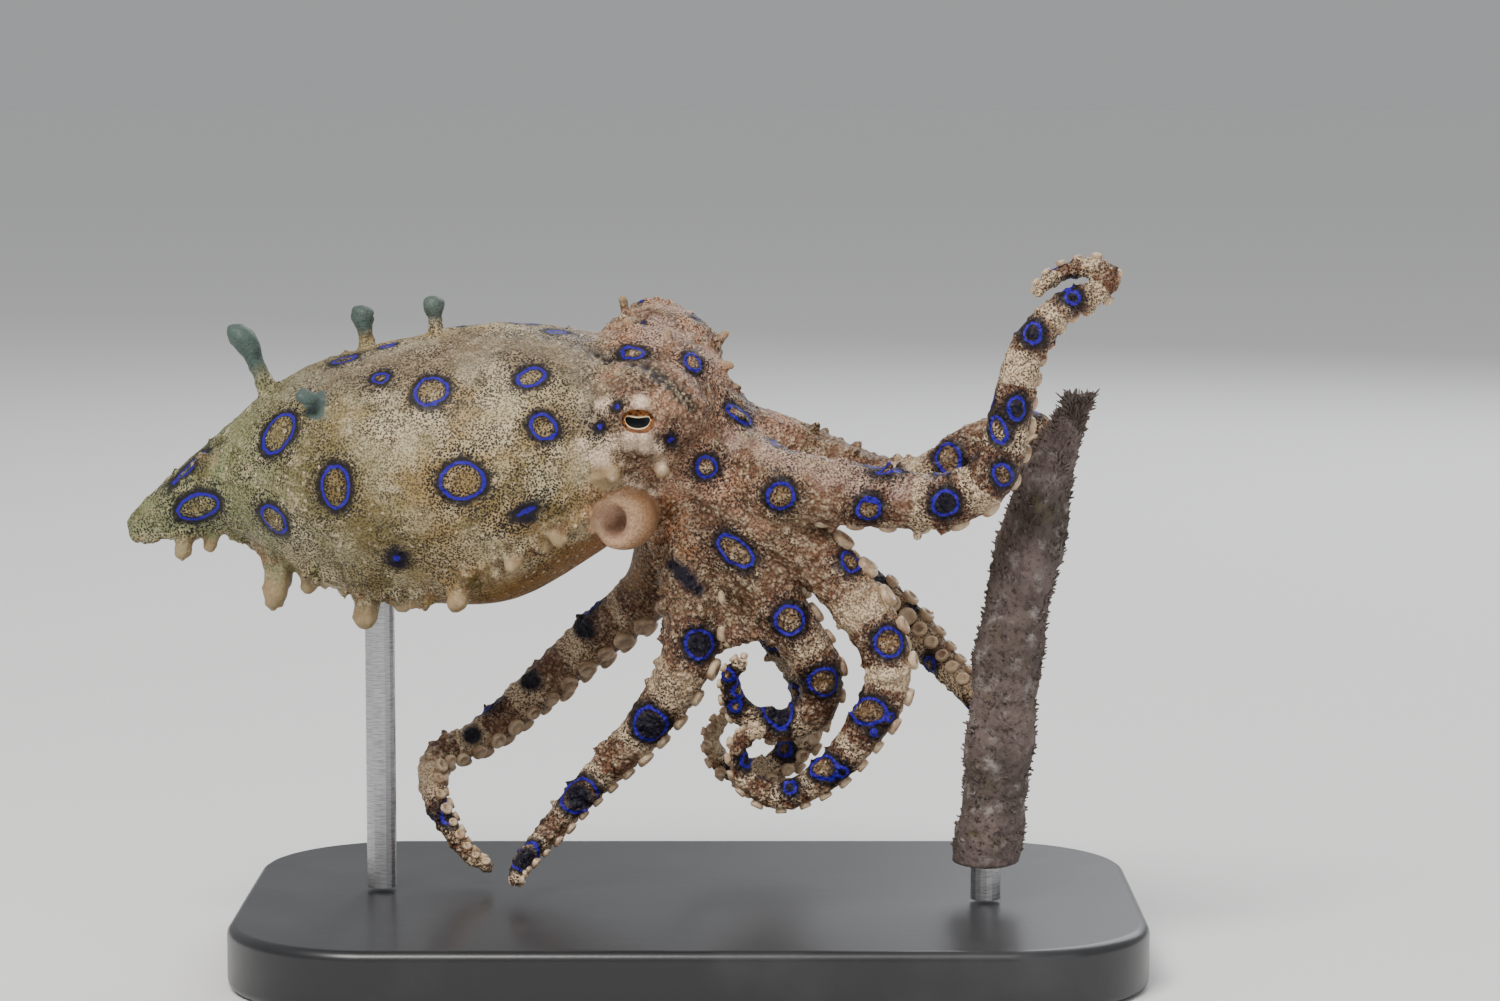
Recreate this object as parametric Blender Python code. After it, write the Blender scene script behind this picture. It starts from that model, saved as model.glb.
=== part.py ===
"""A life-size blue ringed octopus, still, gripping a cut stem, on a display stand.

Run with: blender --background --python part.py

Sizes below are in millimetres. +X is the animal's front, +Y its far side and +Z is up, and
the origin is the middle of the stand base's underside. The body leans on its long axis, so
that its back is turned a little towards -Y.
"""
import math

import bmesh
import bpy
from mathutils import Matrix, Vector
from mathutils.bvhtree import BVHTree

MM = 0.001
GAP = 0.3

# The body's own directions: the back leans towards -Y by the roll
ROLL = math.radians(30)
DORSAL = Vector((0, -math.sin(ROLL), math.cos(ROLL)))
RIGHT = Vector((0, -math.cos(ROLL), -math.sin(ROLL)))
LEFT = -RIGHT
SIDES = {"eye_right": RIGHT, "eye_left": LEFT}
UP = Vector((0, 0, 1))
FAR = Vector((0, 1, 0))

# Mantle
TAIL_TIP = Vector((-46.2, 1.0, 34.3))
NECK = Vector((-6.4, 0.0, 41.7))
MANTLE_ARCH = 0.9
BELLY_SHARE = 0.72
MANTLE_HALF_HEIGHT = 10.3
MANTLE_WIDENING = 1.05
NECK_RADIUS = 7.6
TAIL_POWER = 0.85

# Where the bag differs from a plain one: share, length, added half height and lift.
# The tail is slim below, the back is high behind the middle, the belly hangs in front
MANTLE_SWELLINGS = [(0.25, 0.165, -1.7, 1.7), (0.36, 0.145, 0.65, 0.65), (0.81, 0.155, 0.7, -0.7)]
MANTLE_RINGS = 22
MANTLE_SIDES = 28
RIDGE_ANGLE = 128
RIDGE_WIDTH = 13
RIDGE_HEIGHT = 0.7

# Head, eye mounds and the eyes in them
HEAD_CENTRE = Vector((-3.2, 0.0, 43.7))
HEAD_RADII = (7.0, 7.0, 7.2)
NECK_RADII = (6.4, 6.6, 6.6)
EYE_LATERAL = 4.6
EYE_DORSAL = {"eye_right": 3.2, "eye_left": 2.3}
EYE_LOOKS_UP = 1.76
MOUND_RADII = (5.2, 4.3, 4.3)
EYEBALL_RADIUS = 2.3
EYEBALL_OUT = 2.35
LID_HALF_WIDTH = 2.0
LID_HALF_HEIGHT = 1.4
LID_THICKNESS = 0.85
LID_OUT = 4.4
MOUND_FORWARD = {"eye_right": -0.5, "eye_left": 0.6}

# Crown of the arms: its middle, the way the mouth faces, and the ring of arm roots
CROWN_CENTRE = Vector((1.8, 0.5, 38.4))
MOUTH_WAY = Vector((0.68, 0.35, -0.64)).normalized()
CROWN_RADIUS = 5.0
ROOT_RING_RADIUS = 4.0
HEAD_TO_CROWN_CUT = -3.0
WEB_LENGTH = 11.0
WEB_NOTCH = 0.45
LOW_WEB_NOTCH = 0.12
LOW_WEB_ARMS = ("arm_right_2", "arm_right_3", "arm_right_4", "arm_left_3", "arm_left_4")
WEB_THICKNESS = 1.3
CROWN_OVERSHOOT = 1.6
MOUTH_RADIUS = 1.7
MOUTH_HEIGHT = 1.1

# Siphon
SIPHON_ROOT = Vector((-3.8, 0.5, 36.6))
SIPHON_END = Vector((-5.7, -7.6, 35.7))
SIPHON_RADIUS = 2.45
SIPHON_MOUTH_RADIUS = 1.3
SIPHON_DEPTH = 2.6

# Arms
ARM_ROOT_RADIUS = 3.0
ARM_TIP_RADIUS = 0.32
ARM_TAPER = 0.85
ARM_SIDES = 8
RING_STEP = 1.7
ORAL_FLATTENING = 0.86

# Suckers: two rows in step with each other, from the mouth to each arm's tip
SUCKER_START = 4.6
SUCKER_ROW_DEGREES = 30
SUCKER_SIDES = 5
SUCKER_SIZE = 0.15
SUCKER_SIZE_PER_RADIUS = 0.26
SUCKER_STEP = 0.74
SUCKER_STEP_PER_RADIUS = 0.66
SUCKER_VARIATION = 0.12

# Papillae on the mantle: share of its length, degrees from the back, height, radius.
# Those low on the right flank hang from the ridge, and the left flank has their like.
MANTLE_PAPILLAE = [(0.15, 122, 2.3, 0.85), (0.20, 138, 1.6, 0.7), (0.34, 138, 4.2, 1.2),
                   (0.40, 136, 1.6, 0.7), (0.52, 134, 2.7, 1.1), (0.59, 128, 1.1, 0.7),
                   (0.71, 113, 2.3, 1.0), (0.82, 98, 1.7, 0.7), (0.91, 96, 1.3, 0.6),
                   (0.19, 20, 1.2, 0.6), (0.46, -78, 1.6, 0.7), (0.57, -70, 1.8, 0.8),
                   (0.73, -80, 1.6, 0.7), (0.28, -75, 1.7, 0.7)]
LEFT_FLANK_FROM = 100
LEFT_FLANK_SHIFT = 0.03

# Clubbed papillae along the back: share, degrees, height, club radius, lean to the tail
CLUBS = [(0.325, -26, 5.1, 1.2, 2.9), (0.515, -34, 3.4, 0.95, 0.6), (0.655, -28, 3.0, 0.9, 0.3),
         (0.46, 20, 1.3, 0.75, 2.5)]

# Papillae on the head: the way out from its middle, height, radius
HEAD_PAPILLAE = [((0.9, -6.7, -3.0), 2.0, 0.65), ((-2.0, -6.4, -3.0), 0.9, 0.7),
                 ((-2.2, 2.5, 9.0), 1.7, 0.45), ((6.2, 2.4, 6.5), 1.4, 0.5),
                 ((5.6, -1.0, 3.6), 1.0, 0.5), ((-1.6, -1.0, 7.0), 1.0, 0.5),
                 ((1.5, -3.0, 6.5), 0.9, 0.5), ((2.0, 6.5, 3.0), 1.4, 0.6)]
PAPILLA_SINK = 0.9

# Stem that the front arms grip: its middle line from the cut foot to the frayed top
STEM_LINE = [(23.6, -4.0, 8.2), (24.4, -4.0, 16.5), (25.3, -4.0, 24.5), (26.8, -4.0, 32.5),
             (28.1, -4.0, 39.6), (31.0, -3.5, 45.6)]
STEM_RADIUS = 2.6
STEM_TOP_RADIUS = 0.8
STEM_THINS_FROM = 0.72
STEM_SIDES = 12
STEM_RINGS = 16

# Display stand
BASE_SIZE = (72.0, 46.0, 5.0)
BASE_CORNER = 12.0
BASE_BEVEL = 0.8
ROD_RADIUS = 1.2
BODY_ROD_AT = (-25.0, 1.0)

# Body skin: how the pieces are melted into one and how many faces that keeps
MELT_VOXEL = 0.5
MELT_SMOOTHING = 10
BODY_TRIANGLES = 2900

SKIN = "mottled_skin"
SUCKER_SKIN = "pale_oral_skin"


class Arm:
    """One arm: its place on the root ring, its route, and which way its suckers face."""

    def __init__(self, name, ring_degrees, route, cuts, away=0.0, curl=1.0, grips_stem=False):
        """Args:
        name: the arm's node name, to which the length's number is added.
        ring_degrees: the root's place round the mouth, from the back towards the left.
        route: points in millimetres that the middle line passes, from the web outwards.
        cuts: shares of the arm beyond the crown at which it is divided into lengths.
        away: how far the suckers are turned to the far side.
        curl: 1 or -1, the side of the bend in the XZ plane that the suckers are on.
        grips_stem: whether the last stretch lies along the stem.
        """
        self.name = name
        self.angle = math.radians(ring_degrees)
        self.route = [Vector(p) for p in route]
        self.cuts = cuts
        self.away = away
        self.curl = curl
        self.grips_stem = grips_stem


ARMS = [
    Arm("arm_right_1", -24, [(7, -6.1, 38.8), (14, -7.3, 37.9), (19.5, -8.4, 37.6), (23, -10, 39.2),
                             (24.4, -10.9, 42), (25.2, -11, 46), (26.4, -10.6, 50),
                             (29, -10.2, 52.8), (31.7, -9.6, 54), (32.5, -9, 55.3),
                             (31.2, -8.6, 55.9), (28.9, -8.4, 55.4), (26.5, -8.3, 53.6)],
        (0.34, 0.68), away=1.2, curl=-1.0),
    Arm("arm_left_1", 24, [(9, 2.2, 40.0), (13.5, 0.8, 38.3), (17.5, -0.8, 38.0),
                           (20.5, -1.6, 39.4), (22.6, -1.4, 41.2)], (0.36, 0.66), curl=-1.0,
        grips_stem=True),
    Arm("arm_right_2", -68, [(10, -5.2, 33), (13.2, -6.8, 29.7), (15.5, -7.5, 25.8),
                             (15.5, -8, 22.5), (13.5, -8, 19), (10.8, -7.2, 15.8),
                             (7.2, -6.7, 14), (4.4, -7.2, 15.5), (3.9, -8.4, 18.6),
                             (6.2, -9.4, 20)], (0.28, 0.52, 0.76), away=0.35),
    Arm("arm_right_3", -112, [(5.5, -4, 31.5), (8, -4.5, 27.5), (10.2, -4, 24),
                              (10.2, -2.6, 20.6), (7.4, -1.8, 18.8), (4.2, -2.4, 20),
                              (3.2, -3.8, 23), (4.6, -5.4, 25)], (0.33, 0.62), away=0.9),
    Arm("arm_right_4", -157, [(0, -2, 32), (0.3, -2.5, 26), (-1.2, -2, 22), (-3.6, -1, 18.5),
                              (-6.5, 0, 15.3), (-9.2, 0.3, 12.4), (-11.8, -0.6, 9.5),
                              (-13.6, -2.4, 7.6), (-13.9, -5.2, 6.6)], (0.33, 0.66), away=0.3),
    Arm("arm_left_4", 157, [(-3, 8.4, 29), (-7.6, 11.5, 24.4), (-12.4, 12.5, 20),
                            (-17.4, 11.2, 16), (-21, 8.8, 14.4), (-21.2, 6.2, 12.2),
                            (-19.8, 4.4, 9.6), (-18, 3, 7.4), (-15.8, 2.2, 6.4)], (0.33, 0.66),
        away=-0.3),
    Arm("arm_left_3", 112, [(6.5, 8, 27), (9.6, 10.6, 21), (9.4, 11.6, 16), (6.4, 11.2, 13),
                            (3, 9.6, 13.4), (1.6, 8.2, 16.4), (3.4, 7.6, 18.8)], (0.33, 0.66), away=-0.6),
    Arm("arm_left_2", 68, [(11.4, 7.2, 30.6), (15.0, 8.8, 28.2), (18.2, 8.6, 25.4),
                           (20.6, 6.4, 22.9), (22.8, 3.2, 20.6), (24.5, 1.7, 17.8),
                           (24.6, 1.4, 14.0)], (0.33, 0.66), away=-0.9),
]

# The arm that holds the stem from behind: how far it sways round it and how far it drops
GRIP_START_DEGREES = 125
GRIP_SWAY_DEGREES = 50
GRIP_SWAY_RADIANS = 2.7
GRIP_START_HEIGHT = 42.6
GRIP_DROP = 15.6
GRIP_CLEARANCE = 1.15
GRIP_ARM_RADIUS = 1.35
GRIP_ARM_TAPER = 0.62
GRIP_POINTS = 10


def clear_scene():
    """Removes whatever the startup scene holds."""
    for obj in list(bpy.data.objects):
        bpy.data.objects.remove(obj)


def material(name, colour, roughness, metallic=0.0):
    """A plain Principled finish."""
    made = bpy.data.materials.new(name)
    made.use_nodes = True
    shader = made.node_tree.nodes["Principled BSDF"]
    shader.inputs["Base Color"].default_value = (*colour, 1.0)
    shader.inputs["Roughness"].default_value = roughness
    shader.inputs["Metallic"].default_value = metallic
    return made


def new_object(name, points, faces, finish=None):
    """A mesh object from points in millimetres and faces."""
    mesh = bpy.data.meshes.new(name)
    mesh.from_pydata([Vector(p) * MM for p in points], [], faces)
    mesh.update()
    obj = bpy.data.objects.new(name, mesh)
    bpy.context.scene.collection.objects.link(obj)
    if finish:
        mesh.materials.append(finish)
    return obj


def apply_modifiers(obj):
    """Bakes an object's modifiers into its mesh."""
    bpy.context.view_layer.update()
    graph = bpy.context.evaluated_depsgraph_get()
    baked = bpy.data.meshes.new_from_object(obj.evaluated_get(graph))
    obj.modifiers.clear()
    obj.data = baked


def keep_largest(obj):
    """Leaves only the closed surface with the most volume, triangulated."""
    bm = bmesh.new()
    bm.from_mesh(obj.data)
    bmesh.ops.triangulate(bm, faces=bm.faces)
    unseen = set(bm.faces)
    shells = []
    while unseen:
        shell = {unseen.pop()}
        edge_of_shell = list(shell)
        while edge_of_shell:
            face = edge_of_shell.pop()
            for edge in face.edges:
                for other in edge.link_faces:
                    if other in unseen:
                        unseen.discard(other)
                        shell.add(other)
                        edge_of_shell.append(other)
        shells.append(shell)
    volumes = [abs(sum(shell_volume(face) for face in shell)) for shell in shells]
    largest = shells[volumes.index(max(volumes))]
    bmesh.ops.delete(bm, geom=[f for f in bm.faces if f not in largest], context="FACES")
    bm.to_mesh(obj.data)
    bm.free()


def shell_volume(face):
    """A triangle's share of the volume of the closed surface that it is part of."""
    a, b, c = (v.co for v in face.verts)
    return a.dot(b.cross(c)) / 6


def boolean(obj, others, operation, solver="EXACT"):
    """Joins or cuts an object with closed helper objects, applies it and removes them."""
    helpers = bpy.data.collections.new("helpers")
    bpy.context.scene.collection.children.link(helpers)
    for other in others:
        helpers.objects.link(other)
        other.hide_render = True
    joint = obj.modifiers.new(operation, "BOOLEAN")
    joint.operation = operation
    joint.operand_type = "COLLECTION"
    joint.collection = helpers
    joint.solver = solver
    apply_modifiers(obj)
    for other in others:
        bpy.data.objects.remove(other)
    bpy.data.collections.remove(helpers)


def smooth_line(points, step):
    """Points every step millimetres or so along a smooth curve through the given ones.

    Returns:
        The points, and the length of the curve.
    """
    ends = [points[0] * 2 - points[1], *points, points[-1] * 2 - points[-2]]
    fine = []
    for before, a, b, after in zip(ends, ends[1:], ends[2:], ends[3:]):
        for k in range(24):
            fine.append(between(before, a, b, after, k / 24))
    fine.append(points[-1].copy())
    lengths = [0.0]
    for a, b in zip(fine, fine[1:]):
        lengths.append(lengths[-1] + (b - a).length)
    count = max(2, round(lengths[-1] / step))
    line = []
    at = 0
    for k in range(count + 1):
        wanted = lengths[-1] * k / count
        while at < len(fine) - 2 and lengths[at + 1] < wanted:
            at += 1
        share = (wanted - lengths[at]) / max(lengths[at + 1] - lengths[at], 1e-9)
        line.append(fine[at].lerp(fine[at + 1], min(share, 1.0)))
    return line, lengths[-1]


def between(before, a, b, after, share):
    """A point of the smooth curve that runs from a to b."""
    s2, s3 = share * share, share ** 3
    return 0.5 * (2 * a + (b - before) * share + (2 * before - 5 * a + 4 * b - after) * s2
                  + (3 * a - before - 3 * b + after) * s3)


def tangents(line):
    """The unit direction of a line at each of its points."""
    last = len(line) - 1
    return [(line[min(i + 1, last)] - line[max(i - 1, 0)]).normalized()
            for i in range(len(line))]


def loft(rings, name, finish=None):
    """A closed solid through rings of points, each end closed by a flat face."""
    sides = len(rings[0])
    points = [p for ring in rings for p in ring]
    faces = []
    for i in range(len(rings) - 1):
        for k in range(sides):
            a, b = i * sides + k, i * sides + (k + 1) % sides
            faces.append((a, b, b + sides, a + sides))
    faces.append(tuple(reversed(range(sides))))
    faces.append(tuple(range((len(rings) - 1) * sides, len(rings) * sides)))
    obj = new_object(name, points, faces, finish)
    face_outwards(obj)
    return obj


def face_outwards(obj):
    """Turns all faces of a closed mesh outwards."""
    bm = bmesh.new()
    bm.from_mesh(obj.data)
    bmesh.ops.recalc_face_normals(bm, faces=bm.faces)
    bm.to_mesh(obj.data)
    bm.free()


def ellipsoid(name, centre, radii, axes=None, segments=24):
    """A ball with its own radius along each of three directions."""
    axes = axes or (Vector((1, 0, 0)), FAR, UP)
    bm = bmesh.new()
    bmesh.ops.create_uvsphere(bm, u_segments=segments, v_segments=segments // 2, radius=1.0)
    turn = Matrix([a * r for a, r in zip(axes, radii)]).transposed()
    for v in bm.verts:
        v.co = (centre + turn @ v.co) * MM
    bmesh.ops.recalc_face_normals(bm, faces=bm.faces)
    mesh = bpy.data.meshes.new(name)
    bm.to_mesh(mesh)
    bm.free()
    obj = bpy.data.objects.new(name, mesh)
    bpy.context.scene.collection.objects.link(obj)
    return obj


def turned(name, base, way, profile, sides, finish=None, lean=Vector()):
    """A round solid: (share of length, radius) pairs turned about a line.

    Args:
        base: the foot of the line.
        way: the line, with its length.
        profile: pairs from the foot to the top.
        lean: how far the top is moved sideways, as on a bent papilla.
    """
    u = way.orthogonal().normalized()
    v = way.normalized().cross(u)
    rings = []
    for share, radius in profile:
        middle = base + way * share + lean * share * share
        rings.append([middle + (u * math.cos(2 * math.pi * k / sides)
                                + v * math.sin(2 * math.pi * k / sides)) * radius
                      for k in range(sides)])
    return loft(rings, name, finish)


def mantle_swelling(share):
    """What the swellings add to the half height and to the height of the long axis."""
    wide, high = 0.0, 0.0
    for at, length, added, lift in MANTLE_SWELLINGS:
        weight = math.exp(-((share - at) / length) ** 2)
        wide += added * weight
        high += lift * weight
    return wide, high


def mantle_radius(share):
    """The mantle's half height at a share of its length, from the tail to the neck."""
    added = mantle_swelling(share)[0]
    if share <= BELLY_SHARE:
        swell = math.sin(math.pi / 2 * share / BELLY_SHARE)
        return MANTLE_HALF_HEIGHT * swell ** TAIL_POWER + added
    narrowing = math.cos(math.pi / 2 * (share - BELLY_SHARE) / (1.12 - BELLY_SHARE))
    return NECK_RADIUS * 0.8 + (MANTLE_HALF_HEIGHT - NECK_RADIUS * 0.8) * narrowing + added


def mantle_middle(share):
    """A point of the mantle's long axis, which arches and follows the swellings."""
    arch = MANTLE_ARCH * math.sin(math.pi * max(0.0, min(1.0, share)))
    return TAIL_TIP.lerp(NECK, share) + UP * (arch + mantle_swelling(share)[1])


def mantle_way(degrees):
    """The direction out of the mantle's axis at an angle from the back to the right side."""
    angle = math.radians(degrees)
    return DORSAL * math.cos(angle) + RIGHT * math.sin(angle)


def mantle_point(share, degrees):
    """A point of the mantle's surface, with the low ridge along each flank."""
    angle = math.radians(degrees)
    radius = mantle_radius(share)
    wide = radius * MANTLE_WIDENING
    out = 1 / math.hypot(math.cos(angle) / radius, math.sin(angle) / wide)
    off_ridge = (abs((degrees + 180) % 360 - 180) - RIDGE_ANGLE) / RIDGE_WIDTH
    fade = math.sin(math.pi * min(1.0, share))
    out += RIDGE_HEIGHT * fade * math.exp(-off_ridge ** 2)
    return mantle_middle(share) + mantle_way(degrees) * out


def mantle_solid():
    """The bag of the mantle, from the tail's point to inside the head."""
    rings = []
    for i in range(MANTLE_RINGS + 1):
        share = 0.012 + 1.07 * i / MANTLE_RINGS
        rings.append([mantle_point(share, 360 * k / MANTLE_SIDES)
                      for k in range(MANTLE_SIDES)])
    return loft(rings, "mantle_form")


def root_point(arm):
    """Where an arm leaves the ring round the mouth."""
    back = (DORSAL - MOUTH_WAY * DORSAL.dot(MOUTH_WAY)).normalized()
    side = LEFT
    return CROWN_CENTRE + (back * math.cos(arm.angle) + side * math.sin(arm.angle)) \
        * ROOT_RING_RADIUS


def stem_middle(height):
    """The stem's middle line at a height, and its radius there."""
    line = [Vector(p) for p in STEM_LINE]
    for a, b in zip(line, line[1:]):
        if height <= b.z or b is line[-1]:
            middle = a.lerp(b, (height - a.z) / (b.z - a.z))
            break
    share = (height - line[0].z) / (line[-1].z - line[0].z)
    return middle, stem_radius(share)


def stem_radius(share):
    """The stem keeps its width up to the grip and then thins to its frayed top."""
    thinning = max(0.0, (share - STEM_THINS_FROM) / (1 - STEM_THINS_FROM))
    return STEM_RADIUS + (STEM_TOP_RADIUS - STEM_RADIUS) * thinning ** 1.2


def grip_points():
    """The route of an arm's last stretch, pressed to the stem's far side."""
    points = []
    for k in range(GRIP_POINTS):
        share = k / (GRIP_POINTS - 1)
        sway = GRIP_SWAY_DEGREES * math.sin(GRIP_SWAY_RADIANS * share)
        angle = math.radians(GRIP_START_DEGREES - sway)
        height = GRIP_START_HEIGHT - GRIP_DROP * share
        middle, radius = stem_middle(height)
        reach = radius + GRIP_CLEARANCE + GRIP_ARM_RADIUS * (1 - GRIP_ARM_TAPER * share)
        points.append(middle + Vector((math.cos(angle), math.sin(angle), 0)) * reach)
    return points


class ArmLine:
    """An arm's middle line, worked out: points, directions, sucker side and radius."""

    def __init__(self, arm):
        root = root_point(arm)
        route = [CROWN_CENTRE.lerp(root, 0.25), root, *arm.route]
        if arm.grips_stem:
            route += grip_points()
        self.points, self.length = smooth_line(route, RING_STEP / 2)
        self.step = self.length / (len(self.points) - 1)
        self.ways = tangents(self.points)
        self.arm = arm
        self.orals = [self.oral_at(i) for i in range(len(self.points))]

    def radius(self, at):
        """The arm's radius at a distance from its start."""
        share = max(0.0, 1 - at / self.length)
        return ARM_TIP_RADIUS + (ARM_ROOT_RADIUS - ARM_TIP_RADIUS) * share ** ARM_TAPER

    def oral_at(self, i):
        """The unit direction that the suckers face at a point of the line."""
        way = self.ways[i]
        arm = self.arm
        face = way.cross(FAR) * arm.curl + FAR * arm.away
        share = i / (len(self.points) - 1)
        near_mouth = max(0.0, 1 - share / 0.22)
        face = face * (1 - near_mouth) + (MOUTH_WAY + self.inwards(i) * 0.6) * near_mouth
        if arm.grips_stem and self.points[i].x > 21:
            middle, _ = stem_middle(min(self.points[i].z, STEM_LINE[-1][2]))
            hold = min(1.0, (self.points[i].x - 21) / 3) if share < 0.6 else 1.0
            face = face * (1 - hold) + (middle - self.points[i]).normalized() * hold
        return (face - way * face.dot(way)).normalized()

    def inwards(self, i):
        """The direction from a point of the line to the line through the mouth."""
        off = self.points[i] - CROWN_CENTRE
        return -(off - MOUTH_WAY * off.dot(MOUTH_WAY)).normalized()

    def ring(self, at, grow=0.0, sides=ARM_SIDES):
        """The section's points at a distance from the start, flatter on the sucker side."""
        middle, way, oral = self.frame(at)
        side = way.cross(oral)
        radius = self.radius(at) + grow
        points = []
        for k in range(sides):
            angle = 2 * math.pi * (k + 0.5) / sides
            down = math.cos(angle) * (ORAL_FLATTENING if math.cos(angle) > 0 else 1.0)
            points.append(middle + (oral * down + side * math.sin(angle)) * radius)
        return points

    def frame(self, at):
        """The point, direction and sucker side at a distance from the start."""
        place = max(0.0, min(at / self.step, len(self.points) - 1.001))
        i = int(place)
        share = place - i
        middle = self.points[i].lerp(self.points[i + 1], share)
        way = self.ways[i].lerp(self.ways[i + 1], share).normalized()
        oral = self.orals[i].lerp(self.orals[i + 1], share)
        return middle, way, (oral - way * oral.dot(way)).normalized()

    def tube(self, name, start, end, grow=0.0, finish=None):
        """A closed length of the arm."""
        count = max(2, round((end - start) / RING_STEP))
        rings = [self.ring(start + (end - start) * k / count, grow) for k in range(count + 1)]
        return loft(rings, name, finish)


def web_between(a, b):
    """The skin from one arm to its neighbour, thickest at the crown."""
    across, along = 6, 6
    low = a.arm.name in LOW_WEB_ARMS and b.arm.name in LOW_WEB_ARMS
    depth = LOW_WEB_NOTCH if low else WEB_NOTCH
    rows = []
    for i in range(along + 1):
        row = []
        for k in range(across + 1):
            share = k / across
            notch = 1 - depth * math.sin(math.pi * share)
            at = 1.0 + (WEB_LENGTH - 1.0) * i / along * notch
            row.append(a.frame(at)[0].lerp(b.frame(at)[0], share))
        rows.append(row)
    half = WEB_THICKNESS / 2
    upper = [(p - MOUTH_WAY * half) for row in rows for p in row]
    lower = [(p + MOUTH_WAY * half) for row in rows for p in row]
    wide = across + 1
    count = len(upper)
    faces = []
    for i in range(along):
        for k in range(across):
            p = i * wide + k
            faces.append((p, p + 1, p + wide + 1, p + wide))
            faces.append((count + p, count + p + wide, count + p + wide + 1, count + p + 1))
    rim = [k for k in range(wide)]
    rim += [i * wide + across for i in range(1, along + 1)]
    rim += [along * wide + k for k in range(across - 1, -1, -1)]
    rim += [i * wide for i in range(along - 1, 0, -1)]
    for p, q in zip(rim, rim[1:] + rim[:1]):
        faces.append((q, p, count + p, count + q))
    obj = new_object("web_form", upper + lower, faces)
    face_outwards(obj)
    return obj


def melt(parts, name):
    """Melts overlapping closed forms into one smooth closed mesh of few faces."""
    bm = bmesh.new()
    for part in parts:
        bm.from_mesh(part.data)
    mesh = bpy.data.meshes.new(name)
    bm.to_mesh(mesh)
    bm.free()
    for part in parts:
        bpy.data.objects.remove(part)
    obj = bpy.data.objects.new(name, mesh)
    bpy.context.scene.collection.objects.link(obj)
    remesh = obj.modifiers.new("melt", "REMESH")
    remesh.mode = "VOXEL"
    remesh.voxel_size = MELT_VOXEL * MM
    remesh.adaptivity = 0.0
    smooth = obj.modifiers.new("smooth", "SMOOTH")
    smooth.factor = 0.5
    smooth.iterations = MELT_SMOOTHING
    apply_modifiers(obj)
    keep_largest(obj)
    thin = obj.modifiers.new("thin", "DECIMATE")
    thin.ratio = BODY_TRIANGLES / len(obj.data.polygons)
    apply_modifiers(obj)
    return obj


def torus(name, centre, axes, wide, high, thick):
    """A ring with its own half width and half height, about axes (along, up, out)."""
    along, up, out = axes
    around, sides = 20, 8
    points = []
    for i in range(around):
        turn = 2 * math.pi * i / around
        middle = centre + along * wide * math.cos(turn) + up * high * math.sin(turn)
        away = (middle - centre).normalized()
        for k in range(sides):
            angle = 2 * math.pi * k / sides
            points.append(middle + (away * math.cos(angle) + out * math.sin(angle)) * thick)
    faces = []
    for i in range(around):
        for k in range(sides):
            a, b = i * sides, (i + 1) % around * sides
            faces.append((a + k, a + (k + 1) % sides, b + (k + 1) % sides, b + k))
    obj = new_object(name, points, faces)
    face_outwards(obj)
    return obj


def half_of(obj, name, point, way, finish):
    """A closed copy of the part of an object that lies past a plane."""
    bm = bmesh.new()
    bm.from_mesh(obj.data)
    bmesh.ops.bisect_plane(bm, geom=bm.verts[:] + bm.edges[:] + bm.faces[:], dist=1e-7,
                           plane_co=point * MM, plane_no=way, clear_inner=True)
    open_edges = [e for e in bm.edges if e.is_boundary]
    bmesh.ops.holes_fill(bm, edges=open_edges, sides=0)
    bmesh.ops.triangulate(bm, faces=bm.faces)
    bmesh.ops.recalc_face_normals(bm, faces=bm.faces)
    mesh = bpy.data.meshes.new(name)
    bm.to_mesh(mesh)
    bm.free()
    mesh.materials.append(finish)
    cut = bpy.data.objects.new(name, mesh)
    bpy.context.scene.collection.objects.link(cut)
    keep_largest(cut)
    return cut


def surface_of(obj):
    """A search tree of an object's faces."""
    bm = bmesh.new()
    bm.from_mesh(obj.data)
    tree = BVHTree.FromBMesh(bm)
    bm.free()
    return tree


def hit(tree, start, way):
    """The first point of a surface from a start along a direction, in millimetres."""
    found = tree.ray_cast(start * MM, way.normalized())[0]
    return None if found is None else found / MM


def eye_centre(name):
    """The middle of the mound that carries an eye. The head is turned a little."""
    forward = Vector((MOUND_FORWARD[name], 0, 0))
    return HEAD_CENTRE + SIDES[name] * EYE_LATERAL + DORSAL * EYE_DORSAL[name] + forward


def eye_way(name):
    """The direction in which an eye looks."""
    return (SIDES[name] * EYE_LATERAL + DORSAL * EYE_LOOKS_UP).normalized()


def lid_ring(name):
    """The fold of skin round an eye."""
    out = eye_way(name)
    along = (Vector((1, 0, 0)) - out * out.x).normalized()
    return torus("lid_form", eye_centre(name) + out * LID_OUT, (along, out.cross(along), out),
                 LID_HALF_WIDTH, LID_HALF_HEIGHT, LID_THICKNESS)


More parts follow.
